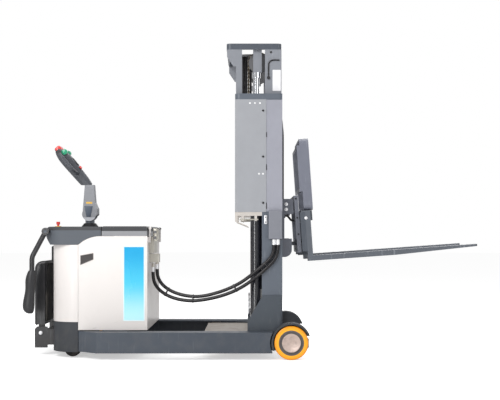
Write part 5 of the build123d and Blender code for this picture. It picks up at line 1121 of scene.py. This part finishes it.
badge_dark = moulded("badge_dark", tone(50, 46, 46), grain=900, rough=0.4)
badge_rim = metal("badge_rim", tone(120, 116, 114), rough=0.35)
badge = block("side_badge_right", (-1, BADGE_FACE_Y, -1), (1, -0.4320, 1))
for corner, (x, z) in BADGE_CORNERS.items():
    pick(badge, lambda place, direction: abs(direction.y) > 0.9
         and (place.x * corner[0] > 0.9) and (place.z * corner[1] > 0.9), "EDGE")
    bpy.ops.transform.translate(value=(x - corner[0], 0, z - corner[1]))
    bpy.ops.object.mode_set(mode="OBJECT")
inset_faces(badge, near_side, (0.0028, 0), (0.0008, -0.0012))
two_tone(badge, badge_rim, badge_dark)
both_sides(badge, "side_badge", "chassis", badge_rim)
print("badge corners", sorted(BADGE_CORNERS.values()))

# %% Blank white sticker on the inner mast
FILM = 0.0004
NOTE_LOW = (0.146, -0.345 - FILM, 1.838)
NOTE_HIGH = (0.203, -0.345, 1.983)

white_film = printed_film("white_film", (tone(232, 232, 234),) * 3, NOTE_LOW[2], NOTE_HIGH[2])
note = block("mast_sticker", NOTE_LOW, NOTE_HIGH)
round_edges(note, aligned(1), 0.004, 4)
fit(note, "mast", white_film)
print("mast sticker done")

# %% [markdown]
# ## The tiller
#
# The driver steers with a long head on a short arm. The head leans back, so
# its buttons are awkward to place in upright coordinates. We build each one
# flat at the origin, as if the head stood straight up, and then lean it
# into place: once, with its turn and its place put into the mesh.

# %% Helper for pieces on the leaning head
HEAD_LEAN = math.radians(40)
HEAD_FOOT = Vector((-1.181, 0, 1.194))


def lean(piece):
    """Turn a piece, built with its length up and its face to +X, onto the head."""
    only(piece)
    piece.rotation_euler = (0, -HEAD_LEAN, 0)
    piece.location = HEAD_FOOT
    bpy.ops.object.transform_apply(location=True, rotation=True, scale=True)
    return piece


# %% Red pad at the end of the head
PAD_LOW = (-0.014, -0.056, 0.322)
PAD_HIGH = (0.030, 0.056, 0.362)

pad = block("belly_button", PAD_LOW, PAD_HIGH)
bevel_all(pad, 0.010, 4)
inset_faces(pad, facing((0, 0, 1)), (0.003, -0.001))
fit(lean(pad), "tiller", red_plastic)
print("red pad", len(pad.data.polygons), "faces")

# %% Green rockers for the travel direction
ROCKER_ALONG = 0.292
ROCKER_OUT = 0.030
ROCKER_RADIUS = 0.019

rocker = bar("travel_rocker_right", (ROCKER_OUT, -0.072, ROCKER_ALONG), "Y", ROCKER_RADIUS, 0.020, 28)
inset_faces(rocker, near_side, (0.006, 0.003))
pick(rocker, lambda place, normal: abs(normal.y) < 0.3 and normal.x > 0.6)
bpy.ops.mesh.extrude_region_shrink_fatten(TRANSFORM_OT_shrink_fatten={"value": 0.004})
bpy.ops.object.mode_set(mode="OBJECT")
lean(rocker)
both_sides(rocker, "travel_rocker", "tiller", green_plastic)
print("travel rockers done")

# %% Red dot and key pad on the face
DOT_ALONG = 0.141
FACE_OUT = 0.0415

dot = bar("horn_button", (FACE_OUT + 0.003, -0.020, DOT_ALONG), "X", 0.011, 0.012, 28)
inset_faces(dot, facing((1, 0, 0)), (0.003, 0.0015))
fit(lean(dot), "tiller", red_plastic)

keypad = block("key_pad", (FACE_OUT - 0.006, -0.030, 0.165), (FACE_OUT + 0.0022, 0.030, 0.235))
round_edges(keypad, aligned(0), 0.008, 4)
inset_faces(keypad, facing((1, 0, 0)), (0.002, -0.0008), (0.010, 0), (0.001, 0.0012))
fit(lean(keypad), "tiller", grip_plastic)
print("key pad", len(keypad.data.polygons), "faces")

# %% [markdown]
# The foot of the arm has a dark cover over its knuckle, wide at the top and
# narrow below, and a small blank yellow sticker above it. The cover is a
# block whose lower edge we pull together.

# %% Knuckle cover and yellow sticker
KNUCKLE_FACE_Y = -0.0482
COVER_LOW = (-1.206, KNUCKLE_FACE_Y - 0.003, 0.972)
COVER_HIGH = (-1.146, KNUCKLE_FACE_Y, 1.050)
COVER_PINCH = 0.5

cover = block("knuckle_cover_right", COVER_LOW, COVER_HIGH)
pick(cover, lambda place, direction: place.z < COVER_LOW[2] + 1e-5 and abs(direction.x) > 0.9, "EDGE")
cover_middle = ((COVER_LOW[0] + COVER_HIGH[0]) / 2, 0, COVER_LOW[2])
bpy.ops.transform.resize(value=(COVER_PINCH, 1, 1), center_override=cover_middle)
bpy.ops.object.mode_set(mode="OBJECT")
bevel_all(cover, 0.0012)
cover_plastic = moulded("cover_plastic", tone(74, 84, 98), grain=700, rough=0.45)
both_sides(cover, "knuckle_cover", "tiller", cover_plastic)

NOTE_TILT = math.radians(5.4)
yellow_note = block("arm_sticker_right", (-0.022, -0.0006, -0.012), (0.022, 0.0006, 0.012))
round_edges(yellow_note, aligned(1), 0.003, 3)
only(yellow_note)
yellow_note.location = (-1.172, -0.0440, 1.068)
yellow_note.rotation_euler = (NOTE_TILT, 0, 0)
bpy.ops.object.transform_apply(location=True, rotation=True, scale=True)
both_sides(yellow_note, "arm_sticker", "tiller", yellow_plastic)
print("knuckle covers and stickers done")

# %% [markdown]
# A rubber boot seals the steering column. Boots have folds so that they can
# give, and a fold is a ring. We add a torus for the lowest one and copy it
# up with a smaller radius, which is a scale about the column's axis.

# %% Folds of the boot
COLUMN = (-1.173, 0)
FOLD_FOOT_Z = 0.9045
FOLD_STEP = 0.0075
FOLD_RADII = (0.056, 0.050, 0.044)

for number, radius in enumerate(FOLD_RADII, 1):
    bpy.ops.object.select_all(action="DESELECT")
    z = FOLD_FOOT_Z + FOLD_STEP * (number - 1)
    bpy.ops.mesh.primitive_torus_add(
        location=(*COLUMN, z), major_radius=radius, minor_radius=0.0042, major_segments=48, minor_segments=10)
    fold = named(f"boot_fold_{number}")
    pick(fold, lambda place, normal: normal.z < -0.6)
    bpy.ops.transform.resize(value=(1, 1, 0.4), center_override=(*COLUMN, z))
    bpy.ops.object.mode_set(mode="OBJECT")
    fit(fold, "chassis", black_rubber)
print(len(FOLD_RADII), "boot folds")

# %% Collar of the emergency button
STOP_PLACE = (-1.355, -0.250)
COLLAR_Z = 0.9015
COLLAR_RADIUS = 0.021
COLLAR_HEIGHT = 0.005

collar = bar("stop_collar", (*STOP_PLACE, COLLAR_Z), "Z", COLLAR_RADIUS, COLLAR_HEIGHT, 36)
inset_faces(collar, facing((0, 0, 1)), (0.006, -0.0015))
round_edges(collar, lambda place, direction: place.z > COLLAR_Z + COLLAR_HEIGHT / 2 - 0.0001
            and math.hypot(place.x - STOP_PLACE[0], place.y - STOP_PLACE[1]) > COLLAR_RADIUS - 0.0005,
            0.0015, 2)
fit(collar, "chassis", yellow_plastic)
print("stop collar done")

# %% [markdown]
# ## Hose fittings and ties
#
# Each hose ends in a steel ferrule that is crimped on, with a hexagon nut
# against the fitting. We model one nut and one ferrule at the first hose
# end and copy them to the others. The crimp marks are rings pressed in: we
# cut the bar with planes across its axis and then pinch the edges between.

# %% Nuts and ferrules
NUT_RADIUS = 0.0135
NUT_HEIGHT = 0.012
FERRULE_RADIUS = 0.0138
FERRULE_LENGTH = 0.034
CRIMP_PINCH = 0.93
LOW_ENDS = [HOSE_ROUTES["hose_below"][0], HOSE_ROUTES["hose_above"][0]]
TOP_ENDS = [HOSE_ROUTES["hose_above"][-1], HOSE_ROUTES["hose_below"][-1]]


def hose_nut(name, x, y, z):
    """A hexagon nut round an upright pipe, with its corners chamfered."""
    nut = bar(name, (x, y, z), "Z", NUT_RADIUS, NUT_HEIGHT, 6)
    inset_faces(nut, aligned(2), (0.002, 0.001))
    return nut


def ferrule(name, x, y, low):
    """A crimped sleeve round the end of a hose, with three pressed rings."""
    sleeve = bar(name, (x, y, low + FERRULE_LENGTH / 2), "Z", FERRULE_RADIUS, FERRULE_LENGTH, 28)
    rings = [low + FERRULE_LENGTH * share for share in (0.2, 0.3, 0.4, 0.5, 0.6, 0.7, 0.8)]
    slice_bar(sleeve, (x, y, low), 2, rings)
    swell(sleeve, (x, y, low), 2, rings[1::2], CRIMP_PINCH)
    return sleeve


for number, (x, y, z) in enumerate(LOW_ENDS, 1):
    fit(hose_nut(f"low_nut_{number}", x, y, z + 0.050), "chassis", white_zinc)
    fit(ferrule(f"low_ferrule_{number}", x, y, z - FERRULE_LENGTH / 2), "chassis", white_zinc)
for number, (x, y, z) in enumerate(TOP_ENDS, 1):
    fit(hose_nut(f"top_nut_{number}", x, y, z + 0.018), "reach", white_zinc)
    fit(ferrule(f"top_ferrule_{number}", x, y, z - FERRULE_LENGTH / 3), "reach", white_zinc)
print("4 nuts and 4 ferrules")

# %% [markdown]
# Plastic ties keep the two hoses together. A tie is a flat band pulled
# round both, so from the side it is an oval: an open bar stretched across
# the pair, whose wall gets its thickness from a Solidify modifier.

# %% Ties round both hoses
TIE_SHARES = (0.24, 0.42, 0.60, 0.80)
TIE_WIDTH = 0.006
TIE_WALL = 0.0012

lines = [line_of(HOSE_ROUTES[name]) for name in ("hose_above", "hose_below")]
for number, share in enumerate(TIE_SHARES, 1):
    upper = lines[0][int(share * (len(lines[0]) - 1))]
    ahead = lines[0][int(share * (len(lines[0]) - 1)) + 2]
    along = (ahead - upper).normalized()
    lower = min(lines[1], key=lambda place: (place - upper).length)
    across = lower - upper
    across -= along * across.dot(along)
    middle = upper + across / 2
    bpy.ops.object.select_all(action="DESELECT")
    bpy.ops.mesh.primitive_cylinder_add(vertices=36, radius=1, depth=TIE_WIDTH, end_fill_type="NOTHING")
    tie = named(f"hose_tie_{number}")
    half = across.length / 2
    grow = HOSE_RADIUS + TIE_WALL
    tie.data.transform(Matrix.Diagonal((grow + half, grow, 1, 1)))
    side = across.normalized()
    turn = Matrix((side, along.cross(side), along)).transposed().to_4x4()
    tie.data.transform(Matrix.Translation(middle) @ turn)
    wall = tie.modifiers.new("wall", "SOLIDIFY")
    wall.thickness = TIE_WALL
    wall.offset = 1
    only(tie)
    bpy.ops.object.modifier_apply(modifier="wall")
    bpy.ops.object.shade_smooth_by_angle(angle=math.radians(40))
    dress(tie, grip_plastic)
    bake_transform(tie)
print(len(TIE_SHARES), "hose ties")

# %% [markdown]
# ## Bolts on the mast, the carriage and the platform
#
# Bright hexagon heads show where the carriage, the fork hooks and the
# platform are bolted on. One bolt, with its washer and its chamfered head,
# serves for all of them.

# %% Bolts
def hex_bolt(name, x, y, z, radius, head):
    """A hexagon bolt head on a washer, that looks towards the camera."""
    washer = bar(name + "_washer", (x, y - head * 0.15, z), "Y", radius * 1.25, head * 0.3, 28)
    bolt = bar(name, (x, y - head * 0.65, z), "Y", radius, head * 0.7, 6)
    inset_faces(bolt, near_side, (radius * 0.14, radius * 0.08))
    return joined(bolt, washer)


# Each bolt: the body that it rides on, its place, and the radius and height of its head
BOLTS = {
    "carriage_bolt_1": ("carriage", 0.2425, -0.289, 1.056, 0.010, 0.007),
    "carriage_bolt_2": ("carriage", 0.2425, -0.289, 1.020, 0.010, 0.007),
    "hook_pin": ("shift", 0.378, -0.330, 0.959, 0.009, 0.006),
    "platform_bolt": ("chassis", -1.476, -0.262, 0.156, 0.010, 0.007),
    "gusset_bolt_1": ("reach", -0.200, -0.410, 0.1335, 0.009, 0.006),
}
for name, (body, x, y, z, radius, head) in BOLTS.items():
    both_sides(hex_bolt(name + "_right", x, y, z, radius, head), name, body, white_zinc)
print(2 * len(BOLTS), "bolts")

# %% Dark screws on the tilt frame
TILT_SCREWS = ((0.3085, 1.094), (0.3185, 0.961), (0.3270, 0.846))
TILT_FACE_Y = -0.300
TILT_SCREW_RADIUS = 0.0062
TILT_SCREW_HEAD = 0.0035

for number, (x, z) in enumerate(TILT_SCREWS, 1):
    screw = button_screw(
        f"tilt_screw_{number}_right", x, TILT_FACE_Y, z, TILT_SCREW_RADIUS, TILT_SCREW_HEAD, 18)
    both_sides(screw, f"tilt_screw_{number}", "tilt", black_paint)
print(2 * len(TILT_SCREWS), "screws on the tilt frame")

# %% [markdown]
# ## Rods under the guard sheets
#
# A threaded rod runs below each guard sheet and holds it off the mast. The
# thread is too fine to model turn by turn, so rings stand in for it: we cut
# the bar into slices and swell every other ring of edges.

# %% Threaded rods
ROD_AXIS = (-0.389, 0.948)
ROD_ENDS = (-0.082, 0.048)
ROD_R = 0.0062
THREAD_PITCH = 0.005
THREAD_COUNT = 10
THREAD_SWELL = 1.18

rod_middle = ((ROD_ENDS[0] + ROD_ENDS[1]) / 2, *ROD_AXIS)
rod = bar("guard_rod_right", rod_middle, "X", ROD_R, ROD_ENDS[1] - ROD_ENDS[0], 20)
turns = [ROD_ENDS[0] + THREAD_PITCH * step for step in range(1, THREAD_COUNT + 1)]
slice_bar(rod, rod_middle, 0, turns)
swell(rod, rod_middle, 0, turns[::2], THREAD_SWELL)
round_edges(rod, lambda place, direction: place.x < ROD_ENDS[0] + 1e-4
            or place.x > ROD_ENDS[1] - 1e-4, 0.0012, 1)
both_sides(rod, "guard_rod", "reach", zinc_plate)

# The two clamps that carry each rod hang from the light bracket.
CLAMP_XS = (-0.060, 0.030)
for number, x in enumerate(CLAMP_XS, 1):
    clamp = block(f"rod_clamp_{number}_right", (x - 0.008, ROD_AXIS[0] - 0.005, ROD_AXIS[1] - 0.011),
                  (x + 0.008, ROD_AXIS[0] + 0.005, 0.981))
    round_edges(clamp, lambda place, direction: place.z < ROD_AXIS[1] and abs(direction.y) > 0.9, 0.0075, 5)
    both_sides(clamp, f"rod_clamp_{number}", "reach", bracket_cream)
print("guard rods and clamps done")

# %% [markdown]
# ## Valve block at the front corner
#
# Above the hose fittings stands a small bright valve block with two knobs
# and a hexagon plug. It is cast, so its edges are soft, and its face is
# stepped where the plugs seal.

# %% Valve block
VALVE_LOW = (-0.681, -0.330, 0.800)
VALVE_HIGH = (-0.652, -0.236, 0.886)

valve = block("valve_block", VALVE_LOW, VALVE_HIGH)
pick(valve, near_side)
bpy.ops.mesh.inset(thickness=0.004)
bpy.ops.mesh.extrude_region_shrink_fatten(TRANSFORM_OT_shrink_fatten={"value": 0.004})
bpy.ops.object.mode_set(mode="OBJECT")
pick(valve, facing((1, 0, 0)))
bpy.ops.mesh.inset(thickness=0.010)
bpy.ops.mesh.extrude_region_shrink_fatten(TRANSFORM_OT_shrink_fatten={"value": 0.006})
bpy.ops.object.mode_set(mode="OBJECT")
bevel_all(valve, 0.0014)
fit(valve, "chassis", zinc_plate)

KNOB_ZS = (0.822, 0.862)
for number, z in enumerate(KNOB_ZS, 1):
    knob = bar(f"valve_knob_{number}", (-0.6665, -0.339, z), "Y", 0.010, 0.012, 16)
    inset_faces(knob, near_side, (0.002, 0.001), (0.004, 0), (0.0008, -0.002))
    fit(knob, "chassis", plain_steel)
print("valve block with", len(KNOB_ZS), "knobs")

# %% [markdown]
# ## Platform
#
# The folded platform shows its underside to the rear. Pressed sheet like
# this is stiffened by ribs, long blocks with generous radii.

# %% Platform ribs
PLATFORM_FACE_X = -1.519
RIB_YS = (-0.18, -0.09, 0.0, 0.09, 0.18)
RIB_HALF = 0.014
RIB_PROUD = 0.004
RIB_LOW, RIB_TOP = 0.20, 0.60

rib = block("platform_rib_1", (PLATFORM_FACE_X - RIB_PROUD, RIB_YS[0] - RIB_HALF, RIB_LOW),
            (PLATFORM_FACE_X + 0.001, RIB_YS[0] + RIB_HALF, RIB_TOP))
round_edges(rib, aligned(0), 0.012, 5)
inset_faces(rib, facing((-1, 0, 0)), (0.0035, 0.0005))
round_edges(rib, lambda place, direction: abs(place.x - (PLATFORM_FACE_X - RIB_PROUD)) < 1e-5, 0.0012, 2)
ribs = row(rib, "platform_rib", [(0, y - RIB_YS[0], 0) for y in RIB_YS[1:]])
for piece in ribs:
    fit(piece, "platform", black_paint)
print(len(ribs), "platform ribs")

# %% [markdown]
# ## Hoses inside the mast
#
# Through the window at the top one sees the hydraulic lines that feed the
# attachment. They hang from a steel manifold below the top bar, four on
# each side, and stay with the inner mast. One hose is modelled: a long bar
# with a crimped cuff at the top, whose foot we spin into an elbow. The
# others are copies.

# %% Hose bundle and manifold
BUNDLE_PLACES = ((-0.058, -0.19), (-0.047, -0.16), (-0.036, -0.19), (-0.005, -0.19))
BUNDLE_R = 0.0078
BUNDLE_LOW, BUNDLE_TOP = 1.60, 2.098
BUNDLE_BEND = 0.05
CUFF_CUTS = (BUNDLE_TOP - 0.042, BUNDLE_TOP - 0.030)
CUFF_SWELL = 1.18

first_x, first_y = BUNDLE_PLACES[0]
middle = (first_x, first_y, (BUNDLE_LOW + BUNDLE_TOP) / 2)
first = bar("bundle_hose_1", middle, "Z", BUNDLE_R, BUNDLE_TOP - BUNDLE_LOW, 16)
slice_bar(first, middle, 2, CUFF_CUTS)
swell(first, middle, 2, (BUNDLE_TOP, CUFF_CUTS[1]), CUFF_SWELL)
pick(first, facing((0, 0, -1)))
elbow_centre = (first_x, first_y + BUNDLE_BEND, BUNDLE_LOW)
bpy.ops.mesh.spin(steps=7, angle=math.radians(-60), center=elbow_centre, axis=(1, 0, 0))
bpy.ops.object.mode_set(mode="OBJECT")
bundle = row(first, "bundle_hose", [(x - first_x, y - first_y, 0) for x, y in BUNDLE_PLACES[1:]])
bundle += [mirrored(piece, piece.name + "_left") for piece in bundle]
for piece in bundle:
    fit(piece, "mast", hose_rubber)

manifold = block("hose_manifold", (-0.072, -0.215, BUNDLE_TOP), (0.010, 0.215, BUNDLE_TOP + 0.018))
bevel_all(manifold, 0.002)
inset_faces(manifold, facing((-1, 0, 0)), (0.006, -0.001))
fit(manifold, "mast", plain_steel)

HANGER_YS = (-0.10, 0.10)
HANGER_HALF = 0.015
HANGER_TOP = 2.132
for number, y in enumerate(HANGER_YS, 1):
    low, high = (-0.058, y - HANGER_HALF, BUNDLE_TOP + 0.016), (-0.052, y + HANGER_HALF, HANGER_TOP)
    hanger = block(f"manifold_hanger_{number}", low, high)
    round_edges(hanger, aligned(0), 0.0012, 2)
    fit(hanger, "mast", plain_steel)
print(len(bundle), "hoses hang from the manifold")

# %% [markdown]
# ## Sensor cable on the mast head
#
# A thin cable comes down over the side plate of the inner mast and turns
# in through a black grommet. We start with a short bar, spin its end round
# the bend and extrude the rest.

# %% Sensor cable
CABLE_R = 0.0045
CABLE_Y = -0.345 - CABLE_R
CABLE_Z = 2.050
CABLE_BEND = 0.034
CABLE_TURN_X = 0.152
CABLE_END_X = 0.192
CABLE_DROP = 0.088

cable = bar("sensor_cable", ((CABLE_TURN_X + CABLE_END_X) / 2, CABLE_Y, CABLE_Z), "X", CABLE_R,
            CABLE_END_X - CABLE_TURN_X, 12)
pick(cable, facing((-1, 0, 0)))
bend_centre = (CABLE_TURN_X, CABLE_Y, CABLE_Z - CABLE_BEND)
bpy.ops.mesh.spin(steps=8, angle=math.radians(90), center=bend_centre, axis=(0, 1, 0))
bpy.ops.mesh.extrude_region_move(TRANSFORM_OT_translate={"value": (0, 0, -CABLE_DROP)})
bpy.ops.object.mode_set(mode="OBJECT")
both_sides(cable, "sensor_cable", "mast", hose_rubber)

grommet_place = (CABLE_TURN_X - CABLE_BEND, -0.350, CABLE_Z - CABLE_BEND - CABLE_DROP)
grommet = bar("sensor_grommet", grommet_place, "Y", 0.011, 0.010, 24)
inset_faces(grommet, near_side, (0.0035, 0.003))
bevel_all(grommet, 0.001)
both_sides(grommet, "sensor_grommet", "mast", black_rubber)
head_screw = button_screw("head_screw", 0.135, -0.345, 2.105, 0.0075, 0.004, 18)
both_sides(head_screw, "head_screw", "mast", black_paint)
print("cable, grommet and screw on both sides")

# %% [markdown]
# ## Fittings on the mast rail and the cylinder foot
#
# A bright strap plate with two rivets holds the guard rod at the rail. The
# lift cylinder is fed through an upright port with a hexagon at each end.

# %% Strap plate and ports
STRAP_LOW = (0.088, -0.4015, 0.917)
STRAP_HIGH = (0.108, -0.395, 0.976)

strap = block("rail_strap", STRAP_LOW, STRAP_HIGH)
round_edges(strap, aligned(1), 0.004, 4)
inset_faces(strap, near_side, (0.0012, 0.0006))
both_sides(strap, "rail_strap", "reach", white_zinc)
RIVET_ZS = (0.930, 0.963)
for number, z in enumerate(RIVET_ZS, 1):
    rivet = button_screw(f"strap_rivet_{number}", 0.098, -0.402, z, 0.0040, 0.0020, 14)
    both_sides(rivet, f"strap_rivet_{number}", "reach", black_paint)

PORT_PLACE = (-0.0185, -0.300)
port = bar("cylinder_port", (*PORT_PLACE, 0.350), "Z", 0.0065, 0.110, 18)
PORT_NUTS = {"port_nut_low": 0.312, "port_nut_top": 0.392}
port_nuts = [bar(name, (*PORT_PLACE, z), "Z", 0.0095, 0.018, 6) for name, z in PORT_NUTS.items()]
for nut in port_nuts:
    inset_faces(nut, aligned(2), (0.0012, 0.0010))
joined(port, *port_nuts)
both_sides(port, "cylinder_port", "reach", white_zinc)
print("strap plates and cylinder ports done")

# %% [markdown]
# ## Chains and hoses that follow the lift
#
# A leaf chain is a stack of flat plates on pins, and from the side its edge
# waves in and out at each pin. The front chains run from the sheaves down
# to the lift carriage and the rear ones from the sheaves to the outer mast,
# so their length changes as the mast rises. We cut a long bar into short
# rungs in one subdivide and draw in every other rung.

# %% Leaf chains
CHAIN_FACES_Y = (-0.259, -0.241)
CHAIN_HALF = 0.007
CHAIN_RUNG = 0.0127
CHAIN_WAIST = 0.72
CHAIN_WRAP_Z = 2.045
FRONT_ANCHOR_Z = 0.985
REAR_ANCHOR_Z = 1.690


def leaf_chain(name, x, low, top):
    """One chain fall between two heights, waisted at every second rung."""
    fall = block(name, (x - CHAIN_HALF, CHAIN_FACES_Y[0], low), (x + CHAIN_HALF, CHAIN_FACES_Y[1], top))
    rungs = round((top - low) / CHAIN_RUNG)
    step = (top - low) / rungs
    pick(fall, aligned(2), "EDGE")
    bpy.ops.mesh.subdivide(number_cuts=rungs - 1)
    bpy.ops.object.mode_set(mode="OBJECT")
    pick(fall, lambda place, direction: abs(direction.z) < 0.1
         and round((place.z - low) / step) % 2 == 1, "EDGE")
    bpy.ops.transform.resize(value=(CHAIN_WAIST, 1, 1), center_override=(x, 0, low))
    bpy.ops.object.mode_set(mode="OBJECT")
    return fall


def stretch(piece, stands_for, material, slot, bodies, start_z, end_z):
    """Put a finish on a piece that bridges two bodies, in place of the CAD part that it stands for."""
    only(piece)
    bpy.ops.object.shade_smooth_by_angle(angle=math.radians(35))
    dress(piece, material)
    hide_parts(stands_for)
    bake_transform(piece)


# Each fall: its name, its x, the bodies at its start and its end, and their heights
FALLS = {
    "lift_chains_front": ("front_chains", 0.120, ("mast", "carriage"), CHAIN_WRAP_Z, FRONT_ANCHOR_Z),
    "lift_chains_rear": ("rear_chains", -0.020, ("reach", "mast"), REAR_ANCHOR_Z, CHAIN_WRAP_Z),
}
for stands_for, (name, x, bodies, start_z, end_z) in FALLS.items():
    chains = leaf_chain(name, x, min(start_z, end_z), max(start_z, end_z))
    joined(chains, mirrored(chains, name + "_left"))
    stretch(chains, stands_for, chain_metal, "steel", bodies, start_z, end_z)
    print(name, len(chains.data.polygons), "faces")

# %% Hoses that hang in the mast
hanging = twin(nodes["mast_hoses"], "hanging_hoses")
only(hanging)
bpy.ops.object.parent_clear(type="CLEAR_KEEP_TRANSFORM")
heights = [corner.co.z for corner in hanging.data.vertices]
stretch(hanging, "mast_hoses", hose_rubber, "hose", ("mast", "carriage"), max(heights), min(heights))
print("hanging hoses from", round(max(heights), 3), "to", round(min(heights), 3))
